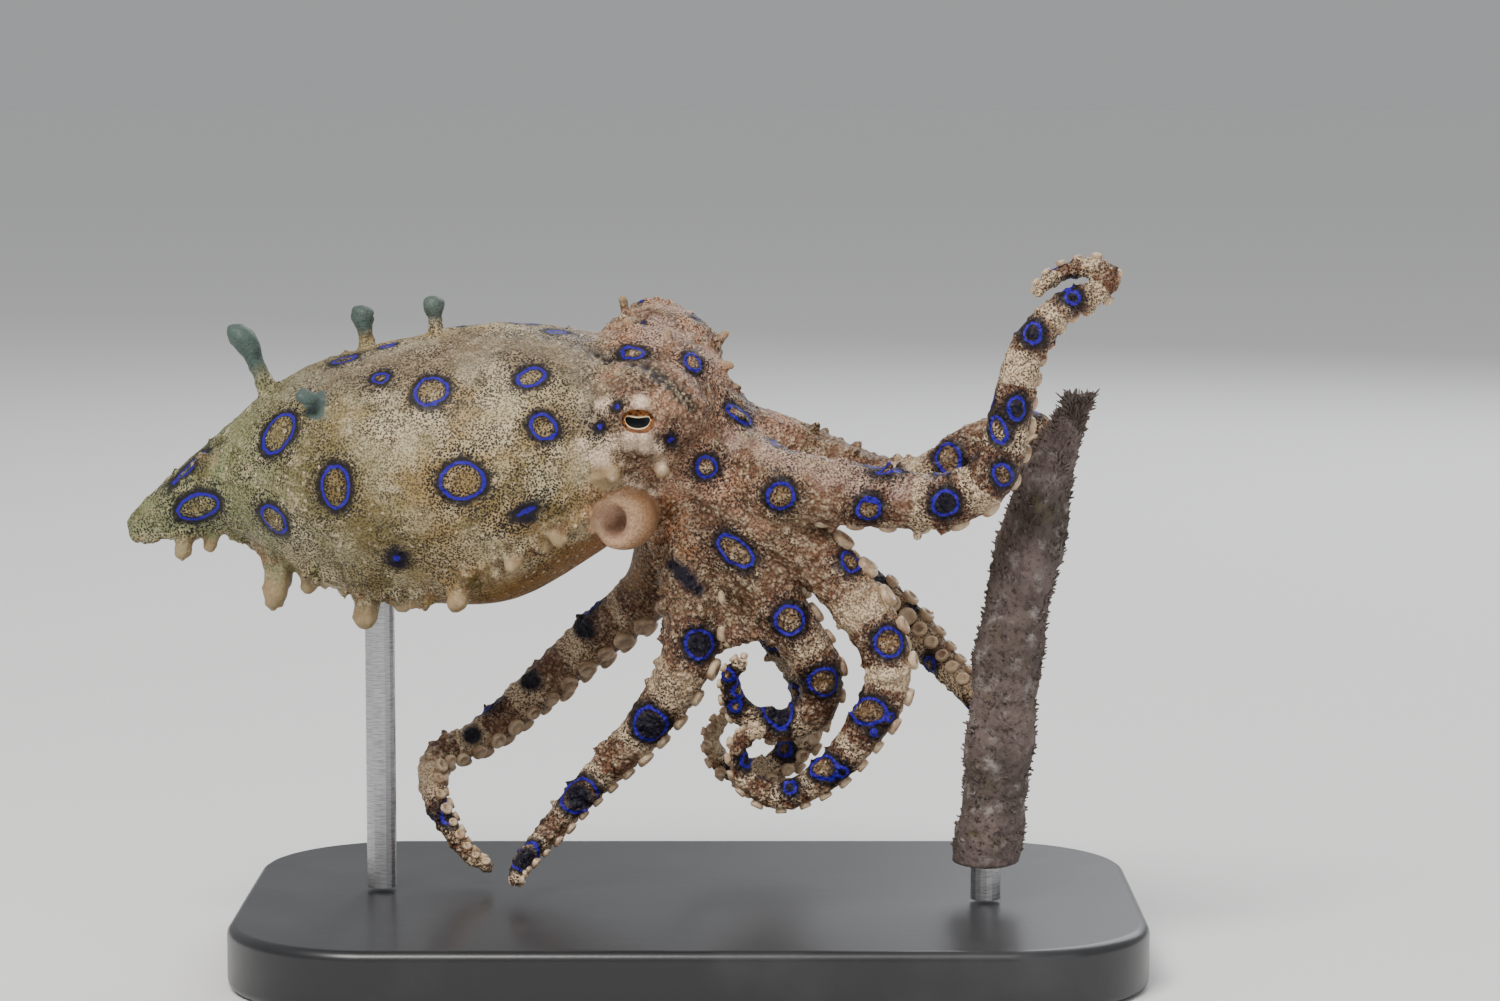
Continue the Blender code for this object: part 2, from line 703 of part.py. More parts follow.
def build_body(lines, skin):
    """Mantle, head and crown: melted whole, then parted with thin cuts."""
    parts = [mantle_solid(), ellipsoid("head_form", HEAD_CENTRE, HEAD_RADII),
             ellipsoid("neck_form", HEAD_CENTRE.lerp(CROWN_CENTRE, 0.6), NECK_RADII),
             ellipsoid("crown_form", CROWN_CENTRE, (CROWN_RADIUS,) * 3)]
    for name in SIDES:
        parts.append(ellipsoid("mound_form", eye_centre(name), MOUND_RADII))
        parts.append(lid_ring(name))
    for line in lines:
        parts.append(line.tube("root_form", 0.0, WEB_LENGTH + CROWN_OVERSHOOT, grow=0.12))
    around = sorted(lines, key=lambda line: line.arm.angle)
    for a, b in zip(around, around[1:] + around[:1]):
        parts.append(web_between(a, b))
    whole = melt(parts, "body_form")
    cut = CROWN_CENTRE + MOUTH_WAY * HEAD_TO_CROWN_CUT
    front = Vector((1, 0, 0))
    mantle = half_of(whole, "mantle", NECK - front * GAP / 2, -front, skin)
    rest = half_of(whole, "rest_form", NECK + front * GAP / 2, front, skin)
    head = half_of(rest, "head", cut - MOUTH_WAY * GAP / 2, -MOUTH_WAY, skin)
    crown = half_of(rest, "arm_crown", cut + MOUTH_WAY * GAP / 2, MOUTH_WAY, skin)
    bpy.data.objects.remove(whole)
    bpy.data.objects.remove(rest)
    return mantle, head, crown


def trim_crown(crown, lines):
    """Cuts the crown off square where each arm's first length starts."""
    cutters = []
    for line in lines:
        middle, way, _ = line.frame(WEB_LENGTH)
        radius = line.radius(WEB_LENGTH) * 1.5
        cutters.append(turned("cutter", middle, way * (CROWN_OVERSHOOT + 2.4),
                              [(0, radius), (1, radius)], 16))
    boolean(crown, cutters, "DIFFERENCE")
    keep_largest(crown)


def build_eyes(head, eye_finish):
    """An eyeball sunk into the mound on each side, in a socket that clears it."""
    sockets = []
    for name in SIDES:
        middle = eye_centre(name) + eye_way(name) * EYEBALL_OUT
        ball = ellipsoid(name, middle, (EYEBALL_RADIUS,) * 3, segments=16)
        ball.data.materials.append(eye_finish)
        ball.data.shade_smooth()
        sockets.append(ellipsoid("socket", middle, (EYEBALL_RADIUS + GAP,) * 3, segments=16))
    boolean(head, sockets, "DIFFERENCE")
    keep_largest(head)


def build_siphon(head, mantle, crown, skin):
    """The funnel under the head, open at its end, and the clearance round its root."""
    way = SIPHON_END - SIPHON_ROOT
    outer = [(0, 2.0), (0.25, SIPHON_RADIUS), (0.7, SIPHON_RADIUS * 1.02),
             (0.88, SIPHON_RADIUS * 0.9), (1.0, SIPHON_MOUTH_RADIUS + 0.45)]
    siphon = turned("siphon", SIPHON_ROOT, way, outer, 16, skin)
    depth = SIPHON_DEPTH / way.length
    bore = turned("bore", SIPHON_ROOT, way, [(1 - depth, 0.6), (1 - depth * 0.6, 0.9),
                                             (1.02, SIPHON_MOUTH_RADIUS)], 12)
    boolean(siphon, [bore], "DIFFERENCE")
    for body in (head, mantle, crown):
        clearance = turned("clearance", SIPHON_ROOT - way * 0.06, way * 1.1,
                           [(s, r + GAP) for s, r in outer], 16)
        boolean(body, [clearance], "DIFFERENCE")
        keep_largest(body)
    return siphon


def build_mouth(crown, skin):
    """The round lip round the beak, under the middle of the arms."""
    tree = surface_of(crown)
    foot = hit(tree, CROWN_CENTRE + MOUTH_WAY * 20, -MOUTH_WAY) + MOUTH_WAY * GAP
    profile = [(0, MOUTH_RADIUS), (0.6, MOUTH_RADIUS), (1.0, MOUTH_RADIUS * 0.65),
               (0.75, MOUTH_RADIUS * 0.3)]
    clearance = turned("clearance", foot - MOUTH_WAY * GAP * 2.4, MOUTH_WAY * 12,
                       [(0, MOUTH_RADIUS + GAP), (1, MOUTH_RADIUS + GAP)], 16)
    boolean(crown, [clearance], "DIFFERENCE")
    keep_largest(crown)
    return turned("mouth", foot - MOUTH_WAY * GAP, MOUTH_WAY * MOUTH_HEIGHT, profile, 14, skin)


def cone(point, way, height, radius, lean=Vector()):
    """A pointed papilla with its root sunk below the surface that it stands on."""
    profile = [(0, radius * 1.1), (0.55, radius * 0.85), (0.86, radius * 0.6), (1.0, radius * 0.25)]
    return turned("papilla", point - way * PAPILLA_SINK, way * (height + PAPILLA_SINK),
                  profile, 5, lean=lean)


def club(point, way, height, radius, lean):
    """A papilla with a round club on a narrower stalk."""
    profile = [(0, radius), (0.3, radius * 0.62), (0.5, radius * 0.62), (0.7, radius * 0.95),
               (0.84, radius), (0.95, radius * 0.7), (1.0, radius * 0.3)]
    return turned("club", point - way * PAPILLA_SINK, way * (height + PAPILLA_SINK), profile,
                  7, lean=Vector((-lean, 0, 0)))


def add_mantle_papillae(mantle):
    """Cones on the ridge and flanks of both sides, and the clubs along the back."""
    spots = list(MANTLE_PAPILLAE)
    for share, degrees, height, radius in MANTLE_PAPILLAE:
        if degrees > LEFT_FLANK_FROM:
            spots.append((share + LEFT_FLANK_SHIFT, -degrees - 2, height * 0.9, radius))
    forms = []
    for share, degrees, height, radius in spots:
        forms.append(cone(mantle_point(share, degrees), mantle_way(degrees), height, radius))
    for share, degrees, height, radius, lean in CLUBS:
        forms.append(club(mantle_point(share, degrees), mantle_way(degrees), height, radius,
                          lean))
    boolean(mantle, forms, "UNION")
    keep_largest(mantle)


def add_head_papillae(head):
    """The few papillae round the eyes."""
    tree = surface_of(head)
    forms = []
    for way, height, radius in HEAD_PAPILLAE:
        out = Vector(way).normalized()
        point = hit(tree, HEAD_CENTRE + out * 20, -out)
        forms.append(cone(point, out, height, radius))
    boolean(head, forms, "UNION")
    keep_largest(head)


def sucker(line, at, row, size):
    """One sucker: a short stalk sunk in the arm, a flared rim and a hollow middle."""
    middle, way, oral = line.frame(at)
    radius = line.radius(at)
    angle = math.radians(SUCKER_ROW_DEGREES) * row
    side = way.cross(oral)
    out = oral * math.cos(angle) + side * math.sin(angle)
    surface = oral * math.cos(angle) * ORAL_FLATTENING + side * math.sin(angle)
    height = 0.3 + 0.55 * size
    sink = 0.3 * radius + 0.12
    foot = middle + surface * radius * 0.95 - out * sink
    length = height + sink
    rim = 1 - 0.25 * height / length
    profile = [(0, size * 0.6), (rim, size), (1, size * 0.8), (rim, size * 0.35)]
    return turned("sucker", foot, out * length, profile, SUCKER_SIDES)


def suckers_between(line, first, last):
    """The suckers of a stretch of arm, closer and smaller towards the tip."""
    forms = []
    row = 1
    at = first
    while True:
        size = SUCKER_SIZE + SUCKER_SIZE_PER_RADIUS * line.radius(at)
        size *= 1 + SUCKER_VARIATION * math.sin(7.3 * at + line.arm.angle)
        if not forms:
            at += size + GAP / 2
        if at + size + GAP / 2 > last:
            return forms
        forms.append(sucker(line, at, row, size))
        at += SUCKER_STEP + SUCKER_STEP_PER_RADIUS * line.radius(at)
        row = -row


def add_suckers(obj, forms):
    """Fuses suckers to the piece that they grow from."""
    if forms:
        boolean(obj, forms, "UNION")
        keep_largest(obj)


def build_arm(line, skin):
    """An arm beyond the crown, in its lengths, with its suckers."""
    start = WEB_LENGTH + GAP
    marks = [0.0, *line.arm.cuts, 1.0]
    for number, (a, b) in enumerate(zip(marks, marks[1:]), 1):
        reach = line.length - start
        first = start + reach * a + (GAP / 2 if a else 0)
        last = start + reach * b - (GAP / 2 if b < 1 else 0)
        piece = line.tube(f"{line.arm.name}_length_{number}", first, last, finish=skin)
        add_suckers(piece, suckers_between(line, first, last))


def build_stem(bark):
    """The cut stem, a little uneven, with a thin top."""
    line = [Vector(p) for p in STEM_LINE]
    rings = []
    for i in range(STEM_RINGS + 1):
        share = i / STEM_RINGS
        height = line[0].z + (line[-1].z - line[0].z) * share
        middle, radius = stem_middle(height)
        ring = []
        for k in range(STEM_SIDES):
            angle = 2 * math.pi * k / STEM_SIDES
            uneven = 1 + 0.07 * math.sin(3 * angle + 9 * share) + 0.05 * math.sin(31 * share)
            ring.append(middle + Vector((math.cos(angle), math.sin(angle), 0))
                        * radius * uneven)
        rings.append(ring)
    return loft(rings, "perch_stem", bark)


def build_stand(mantle, finish, metal):
    """The flat base and its two rods, one to the mantle and one to the stem's foot."""
    wide, deep, tall = BASE_SIZE
    outline = []
    for corner, (sx, sy) in enumerate(((1, 1), (-1, 1), (-1, -1), (1, -1))):
        for k in range(9):
            angle = math.radians(90 * corner + 90 * k / 8)
            outline.append(Vector((sx * (wide / 2 - BASE_CORNER) + BASE_CORNER
                                   * math.cos(angle),
                                   sy * (deep / 2 - BASE_CORNER) + BASE_CORNER
                                   * math.sin(angle), 0)))
    rings = []
    for height, inset in ((0, 0.4), (0.4, 0), (tall - BASE_BEVEL, 0), (tall, BASE_BEVEL)):
        shrink = Vector((1 - 2 * inset / wide, 1 - 2 * inset / deep, 0))
        rings.append([Vector((p.x * shrink.x, p.y * shrink.y, height)) for p in outline])
    loft(rings, "stand_base", finish)
    tree = surface_of(mantle)
    x, y = BODY_ROD_AT
    tops = []
    for k in range(8):
        angle = 2 * math.pi * k / 8
        start = Vector((x + ROD_RADIUS * math.cos(angle), y + ROD_RADIUS * math.sin(angle), 6))
        tops.append(hit(tree, start, UP).z)
    foot = tall + GAP
    rods = (("stand_rod_body", Vector((x, y, foot)), min(tops) - GAP),
            ("stand_rod_stem", Vector((STEM_LINE[0][0], STEM_LINE[0][1], foot)),
             STEM_LINE[0][2] - GAP))
    for name, base, top in rods:
        turned(name, base, UP * (top - base.z), [(0, ROD_RADIUS), (1, ROD_RADIUS)], 16, metal)


def main():
    """Builds every node."""
    clear_scene()
    skin = material(SKIN, (0.36, 0.28, 0.17), 0.5)
    eye_finish = material("eye", (0.42, 0.16, 0.04), 0.15)
    bark = material("stem_crust", (0.23, 0.17, 0.14), 0.9)
    board = material("stand_board", (0.05, 0.05, 0.055), 0.35)
    metal = material("stand_metal", (0.55, 0.55, 0.56), 0.3, 1.0)
    lines = [ArmLine(arm) for arm in ARMS]
    mantle, head, crown = build_body(lines, skin)
    trim_crown(crown, lines)
    build_eyes(head, eye_finish)
    build_siphon(head, mantle, crown, skin)
    add_mantle_papillae(mantle)
    add_head_papillae(head)
    build_mouth(crown, skin)
    for line in lines:
        add_suckers(crown, suckers_between(line, SUCKER_START, WEB_LENGTH))
    for line in lines:
        build_arm(line, skin)
    build_stem(bark)
    build_stand(mantle, board, metal)


main()
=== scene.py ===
"""A life-size blue ringed octopus, still, gripping a cut stem on a display stand.

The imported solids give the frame. This script gives every surface its shape and finish: one
skin over all the flesh, with its rings, bands, papillae and lids, and the suckers, eyes,
mouth, stem and stand as pieces of their own. Lengths are in millimetres until a mesh is
written, and +X is the animal's front, +Y its far side and +Z up.
"""
import logging
import math
from collections.abc import Callable, Sequence
from dataclasses import dataclass
from enum import Enum
from typing import ClassVar

import bpy
import numpy as np
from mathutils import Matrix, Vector, noise
from mathutils.bvhtree import BVHTree


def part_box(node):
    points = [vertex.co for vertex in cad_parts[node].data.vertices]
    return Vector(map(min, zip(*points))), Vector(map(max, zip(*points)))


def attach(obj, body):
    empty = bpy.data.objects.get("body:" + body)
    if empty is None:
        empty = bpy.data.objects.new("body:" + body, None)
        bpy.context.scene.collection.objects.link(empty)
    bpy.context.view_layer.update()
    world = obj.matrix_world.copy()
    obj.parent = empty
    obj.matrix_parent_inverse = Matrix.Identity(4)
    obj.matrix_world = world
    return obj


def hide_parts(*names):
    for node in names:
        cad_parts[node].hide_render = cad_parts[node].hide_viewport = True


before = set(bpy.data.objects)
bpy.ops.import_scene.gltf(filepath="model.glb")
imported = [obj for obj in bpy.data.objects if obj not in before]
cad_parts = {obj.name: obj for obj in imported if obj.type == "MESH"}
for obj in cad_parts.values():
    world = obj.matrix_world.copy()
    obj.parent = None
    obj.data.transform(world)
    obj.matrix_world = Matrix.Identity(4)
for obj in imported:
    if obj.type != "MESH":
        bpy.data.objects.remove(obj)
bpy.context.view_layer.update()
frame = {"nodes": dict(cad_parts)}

LOG = logging.getLogger("octopus")
MM = 0.001
SEED = 11

Obj = bpy.types.Object
Array = np.ndarray
Triple = tuple[float, float, float]
Place = Callable[[Array, Array], Array]
Profile = Sequence[tuple[float, float]]
Bump = tuple[Array, Array, float, float]
Places = Sequence[Triple]


def vec(x: float, y: float, z: float) -> Array:
    """A point or direction as an array."""
    return np.array((x, y, z), float)


def unit(v: Array) -> Array:
    """A direction, or rows of them, at length one."""
    return v / np.maximum(np.linalg.norm(v, axis=-1, keepdims=True), 1e-9)


def norms(v: Array) -> Array:
    """The length of each row."""
    return np.linalg.norm(v, axis=-1)


def turned_to(first: Array, second: Array, angle: float | Array) -> Array:
    """A direction, or rows of them, turned by an angle from one axis towards another."""
    angle = np.asarray(angle)[..., None]
    return first * np.cos(angle) + second * np.sin(angle)


def smoothstep(low: float, high: float, value: Array) -> Array:
    """A soft step from 0 at low to 1 at high."""
    share = np.clip((value - low) / (high - low), 0, 1)
    return share * share * (3 - 2 * share)


def bell(value: Array, at: float, width: float) -> Array:
    """A smooth hump: 1 at a value, fading on both sides over a width."""
    return np.exp(-((value - at) / width) ** 2)


def round_line(points: Array, base: Array, way: Array) -> tuple[Array, Array]:
    """Places as seen from a line.

    Args:
        points: the places.
        base: the line's foot.
        way: its direction, of length one.

    Returns:
        How far along the line each point is, and the way to it from the line.
    """
    rise = (points - base) @ way
    return rise, points - base - rise[:, None] * way


ROLL = math.radians(30)
DORSAL = vec(0, -math.sin(ROLL), math.cos(ROLL))
RIGHT = vec(0, -math.cos(ROLL), -math.sin(ROLL))
FRONT = vec(1, 0, 0)
FAR = vec(0, 1, 0)
UP = vec(0, 0, 1)


class Side(Enum):
    """The animal's two sides, by the direction that each faces."""

    RIGHT = 1
    LEFT = -1

    @property
    def way(self) -> Array:
        """The direction out of this side."""
        return RIGHT * self.value


class Slot(Enum):
    """The record's material slots, one named with each piece here."""

    SKIN = "mottled_skin"
    ORAL = "pale_oral_skin"
    EYE = "eye"
    CRUST = "stem_crust"
    BOARD = "stand_board"


class Bench:
    """Blender's modelling operators, as the steps that each piece here is made with."""

    @staticmethod
    def deselect() -> None:
        """Leaves nothing selected."""
        bpy.ops.object.select_all(action="DESELECT")

    @staticmethod
    def take(obj: Obj) -> None:
        """Selects one object alone and makes it the active one."""
        Bench.deselect()
        obj.select_set(True)
        bpy.context.view_layer.objects.active = obj

    @staticmethod
    def points(obj: Obj) -> Array:
        """The object's points, in millimetres."""
        flat = np.empty(len(obj.data.vertices) * 3)
        obj.data.vertices.foreach_get("co", flat)
        return flat.reshape(-1, 3) / MM

    @staticmethod
    def move_points(obj: Obj, points: Array) -> None:
        """Puts the object's points at new places, in millimetres."""
        obj.data.vertices.foreach_set("co", (points * MM).ravel())
        obj.data.update()

    @staticmethod
    def normals(obj: Obj) -> Array:
        """The direction out of the surface at each point."""
        flat = np.empty(len(obj.data.vertices) * 3)
        obj.data.vertices.foreach_get("normal", flat)
        return flat.reshape(-1, 3)

    @staticmethod
    def outwards(obj: Obj) -> None:
        """Turns all faces outwards."""
        Bench.take(obj)
        bpy.ops.object.mode_set(mode="EDIT")
        bpy.ops.mesh.select_all(action="SELECT")
        bpy.ops.mesh.normals_make_consistent(inside=False)
        bpy.ops.object.mode_set(mode="OBJECT")

    @staticmethod
    def modify(obj: Obj, kind: str, **settings: object) -> None:
        """Adds one modifier and applies it.

        Args:
            obj: the piece.
            kind: the modifier's type.
            settings: the modifier's properties.
        """
        Bench.take(obj)
        step = obj.modifiers.new(kind.lower(), kind)
        for key, value in settings.items():
            setattr(step, key, value)
        bpy.ops.object.modifier_apply(modifier=step.name)

    @staticmethod
    def ball(name: str, segments: int, rings: int, place: Place) -> Obj:
        """A ball whose points are put where a rule says.

        Args:
            name: the object's name.
            segments: faces round it.
            rings: faces from end to end.
            place: gives points from the share from end to end and the angle round.

        Returns:
            The closed object, faces outwards.
        """
        Bench.deselect()
        bpy.ops.mesh.primitive_uv_sphere_add(segments=segments, ring_count=rings, radius=1.0)
        obj = bpy.context.object
        obj.name = name
        raw = Bench.points(obj) * MM
        share = np.arccos(np.clip(-raw[:, 2], -1, 1)) / math.pi
        moved = place(share, np.arctan2(raw[:, 1], raw[:, 0]))
        for pole, ring in ((0.0, 1 / rings), (1.0, 1 - 1 / rings)):
            at_pole = np.abs(share - pole) < 1e-3
            moved[at_pole] = moved[np.abs(share - ring) < 1e-3].mean(axis=0)
        Bench.move_points(obj, moved)
        Bench.outwards(obj)
        return obj

    @staticmethod
    def ellipsoid(name: str, centre: Array, radii: Sequence[float], segments: int = 48) -> Obj:
        """A ball with its own radius along X, Y and Z."""
        def place(share: Array, angle: Array) -> Array:
            out = turned_to(-UP, turned_to(FRONT, FAR, angle), share * math.pi)
            return centre + out * np.array(radii)
        return Bench.ball(name, segments, segments // 2, place)

    @staticmethod
    def turned(name: str, base: Array, way: Array, profile: Profile,
               segments: int, rings: int) -> Obj:
        """A round form turned about a line.

        Args:
            name: the object's name.
            base: the line's foot.
            way: the line, with its length.
            profile: (share of the line, radius) pairs from one end to the other.
            segments: faces round it.
            rings: faces along the profile.

        Returns:
            The closed object.
        """
        steps = np.linspace(0, 1, len(profile))
        heights = np.array([p[0] for p in profile])
        radii = np.array([p[1] for p in profile])
        up = unit(way)
        side = unit(np.cross(up, FRONT if abs(up[0]) < 0.9 else UP))
        other = np.cross(up, side)

        def place(share: Array, angle: Array) -> Array:
            height = np.interp(share, steps, heights)[:, None]
            radius = np.interp(share, steps, radii)[:, None]
            return base + way * height + turned_to(side, other, angle) * radius
        return Bench.ball(name, segments, rings, place)

    @staticmethod
    def lathe(name: str, profile: Profile, segments: int) -> Obj:
        """A round form about +Z, extruded from a disc ring by ring.

        Args:
            name: the object's name.
            profile: (height, radius) pairs from the foot, the first height being 0.
            segments: faces round it.

        Returns:
            The closed object.
        """
        Bench.deselect()
        bpy.ops.mesh.primitive_circle_add(vertices=segments, radius=profile[0][1] * MM,
                                          fill_type="NGON")
        obj = bpy.context.object
        obj.name = name
        bpy.ops.object.mode_set(mode="EDIT")
        bpy.ops.mesh.select_all(action="SELECT")
        for (low, narrow), (high, wide) in zip(profile, profile[1:]):
            bpy.ops.mesh.extrude_region_move(
                TRANSFORM_OT_translate={"value": (0, 0, (high - low) * MM)})
            bpy.ops.transform.resize(value=(wide / narrow, wide / narrow, 1),
                                     center_override=(0, 0, high * MM))
        bpy.ops.object.mode_set(mode="OBJECT")
        Bench.outwards(obj)
        return obj

    @staticmethod
    def join(pieces: Sequence[Obj], name: str) -> Obj:
        """Joins objects into the first of them."""
        Bench.take(pieces[0])
        for piece in pieces[1:]:
            piece.select_set(True)
        bpy.ops.object.join()
        pieces[0].name = name
        return pieces[0]

    @staticmethod
    def melt(obj: Obj, voxel: float, passes: int) -> None:
        """Melts the overlapping forms of one mesh into one smooth surface."""
        Bench.modify(obj, "REMESH", mode="VOXEL", voxel_size=voxel * MM)
        Bench.modify(obj, "SMOOTH", factor=0.5, iterations=passes)

    @staticmethod
    def copies(pattern: Obj, places: Sequence[Array], name: str) -> Obj:
        """One mesh that holds many copies of a modelled pattern.

        Args:
            pattern: the piece that is repeated; it is removed.
            places: a matrix for each copy, 3 by 4, from the pattern's own space.
            name: the new object's name.

        Returns:
            The joined copies.
        """
        points = Bench.points(pattern)
        faces = [tuple(face.vertices) for face in pattern.data.polygons]
        all_points = [points @ m[:, :3].T + m[:, 3] for m in places]
        all_faces = [tuple(i + k * len(points) for i in face)
                     for k in range(len(places)) for face in faces]
        mesh = bpy.data.meshes.new(name)
        mesh.from_pydata(np.concatenate(all_points) * MM, [], all_faces)
        mesh.update()
        obj = bpy.data.objects.new(name, mesh)
        bpy.context.scene.collection.objects.link(obj)
        bpy.data.objects.remove(pattern)
        return obj

    @staticmethod
    def attribute(obj: Obj, name: str, values: Array) -> None:
        """Stores one number for each point, for a finish to read."""
        layer = obj.data.attributes.new(name, "FLOAT", "POINT")
        layer.data.foreach_set("value", values.astype(np.float32))

    @staticmethod
    def finish(obj: Obj, material: bpy.types.Material, slot: Slot, *nodes: str) -> None:
        """Gives a piece its finish, its body and the nodes that it stands for."""
        obj.data.materials.clear()
        obj.data.materials.append(material)
        obj.data.shade_smooth()
        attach(obj, "root")
        if nodes:
            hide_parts(*nodes)
        LOG.info("%s: %d faces", obj.name, len(obj.data.polygons))


def lumps(points: Array, size: float, offset: float = 0.0) -> Array:
    """Smooth noise from -1 to 1 at each point.

    Args:
        points: places in millimetres.
        size: how wide a lump is.
        offset: moves the pattern.
    """
    scaled = (points + offset) / size
    return np.array([noise.noise(Vector(p)) for p in scaled])


def grains(points: Array, size: float) -> Array:
    """Round grains from 0 to 1 at each point.

    Args:
        points: places in millimetres.
        size: how far the grains are apart.
    """
    nearest = np.array([noise.voronoi(Vector(p))[0][0] for p in points / size])
    return 1 - smoothstep(0.12, 0.55, nearest)


@dataclass(frozen=True)
class Eyepoint:
    """Where the photograph was taken from, to lay the near side's rings out by it."""

    target: Triple = (4.8, 0.0, 36.8)
    distance: float = 333.3
    elevation: float = 6.0
    lens: float = 100.0
    sensor: float = 36.0
    width: int = 1500
    height: int = 1001

    @property
    def tilt(self) -> float:
        """How far the camera looks down, in radians."""
        return math.radians(self.elevation)

    @property
    def place(self) -> Array:
        """The camera's own place."""
        return np.array(self.target) + vec(0, -self.distance * math.cos(self.tilt),
                                           self.distance * math.sin(self.tilt))

    @property
    def focal(self) -> float:
        """The lens in picture widths of one pixel."""
        return self.width * self.lens / self.sensor

    @property
    def axes(self) -> tuple[Array, Array, Array]:
        """The picture's right, up and forward directions."""
        forward = vec(0, math.cos(self.tilt), -math.sin(self.tilt))
        return FRONT, np.cross(FRONT, forward), forward

    def ray(self, x: float, y: float) -> Array:
        """The direction through a place in the picture."""
        right, up, forward = self.axes
        return unit(forward + right * (x - self.width / 2) / self.focal
                    + up * (self.height / 2 - y) / self.focal)


@dataclass(frozen=True)
class Ring:
    """A blue ring as it shows in the picture: middle, width, height and turn."""

    x: float
    y: float
    wide: float
    high: float
    turn: float = 0.0


@dataclass(frozen=True)
class Arm:
    """An arm's sizes: its root, its route in millimetres and the side of its suckers."""

    name: str
    root_degrees: float
    route: tuple[Triple, ...]
    lengths: int = 3
    away: float = 0.0
    curl: float = 1.0
    grips_stem: bool = False

    @property
    def nodes(self) -> list[str]:
        """The arm's lengths in the frame."""
        return [f"{self.name}_length_{i + 1}" for i in range(self.lengths)]


ARMS = (
    Arm("arm_right_1", -24, ((7, -6.1, 38.8), (14, -7.3, 37.9), (19.5, -8.4, 37.6),
                             (23, -10, 39.2), (24.4, -10.9, 42), (25.2, -11, 46),
                             (26.4, -10.6, 50), (29, -10.2, 52.8), (31.7, -9.6, 54),
                             (32.5, -9, 55.3), (31.2, -8.6, 55.9), (28.9, -8.4, 55.4),
                             (26.5, -8.3, 53.6)), away=1.2, curl=-1.0),
    Arm("arm_left_1", 24, ((9, 2.2, 40.0), (13.5, 0.8, 38.3), (17.5, -0.8, 38.0),
                           (20.5, -1.6, 39.4), (22.6, -1.4, 41.2)), curl=-1.0,
        grips_stem=True),
    Arm("arm_left_2", 68, ((11.4, 7.2, 30.6), (15.0, 8.8, 28.2), (18.2, 8.6, 25.4),
                           (20.6, 6.4, 22.9), (22.8, 3.2, 20.6), (24.5, 1.7, 17.8),
                           (24.6, 1.4, 14.0)), away=-0.9),
    Arm("arm_left_3", 112, ((6.5, 8, 27), (9.6, 10.6, 21), (9.4, 11.6, 16), (6.4, 11.2, 13),
                            (3, 9.6, 13.4), (1.6, 8.2, 16.4), (3.4, 7.6, 18.8)), away=-0.6),
    Arm("arm_left_4", 157, ((-3, 8.4, 29), (-7.6, 11.5, 24.4), (-12.4, 12.5, 20),
                            (-17.4, 11.2, 16), (-21, 8.8, 14.4), (-21.2, 6.2, 12.2),
                            (-19.8, 4.4, 9.6), (-18, 3, 7.4), (-15.8, 2.2, 6.4)), away=-0.3),
    Arm("arm_right_4", -157, ((0, -2, 32), (0.3, -2.5, 26), (-1.2, -2, 22),
                              (-3.6, -1, 18.5), (-6.5, 0, 15.3), (-9.2, 0.3, 12.4),
                              (-11.8, -0.6, 9.5), (-13.6, -2.4, 7.6), (-13.9, -5.2, 6.6)),
        away=0.3),
    Arm("arm_right_3", -112, ((5.5, -4, 31.5), (8, -4.5, 27.5), (10.2, -4, 24),
                              (10.2, -2.6, 20.6), (7.4, -1.8, 18.8), (4.2, -2.4, 20),
                              (3.2, -3.8, 23), (4.6, -5.4, 25)), away=0.9),
    Arm("arm_right_2", -68, ((10, -5.2, 33), (13.2, -6.8, 29.7), (15.5, -7.5, 25.8),
                             (15.5, -8, 22.5), (13.5, -8, 19), (10.8, -7.2, 15.8),
                             (7.2, -6.7, 14), (4.4, -7.2, 15.5), (3.9, -8.4, 18.6),
                             (6.2, -9.4, 20)), lengths=4, away=0.35),
)


@dataclass(frozen=True)
class Stem:
    """The cut stem that the front arms grip."""

    line: tuple[Triple, ...] = (
        (23.6, -4.0, 8.2), (24.4, -4.0, 16.5), (25.3, -4.0, 24.5), (26.8, -4.0, 32.5),
        (28.1, -4.0, 39.6), (31.0, -3.5, 45.6))
    radius: float = 2.6
    top_radius: float = 0.8
    thins_from: float = 0.72

    def middle(self, height: Array) -> Array:
        """Points of its middle line at given heights."""
        line = np.array(self.line)
        across = [np.interp(height, line[:, 2], line[:, k]) for k in (0, 1)]
        return np.stack([*across, height], axis=-1)

    @property
    def span(self) -> tuple[float, float]:
        """The heights of its foot and its top."""
        return self.line[0][2], self.line[-1][2]

    def share(self, height: Array) -> Array:
        """Heights as shares of its own, from 0 at the foot to 1 at the top."""
        low, high = self.span
        return (height - low) / (high - low)

    def width(self, height: Array) -> Array:
        """Its radius at given heights."""
        thins_from = self.thins_from
        thinning = np.clip((self.share(height) - thins_from) / (1 - thins_from), 0, 1)
        return self.radius + (self.top_radius - self.radius) * thinning ** 1.2


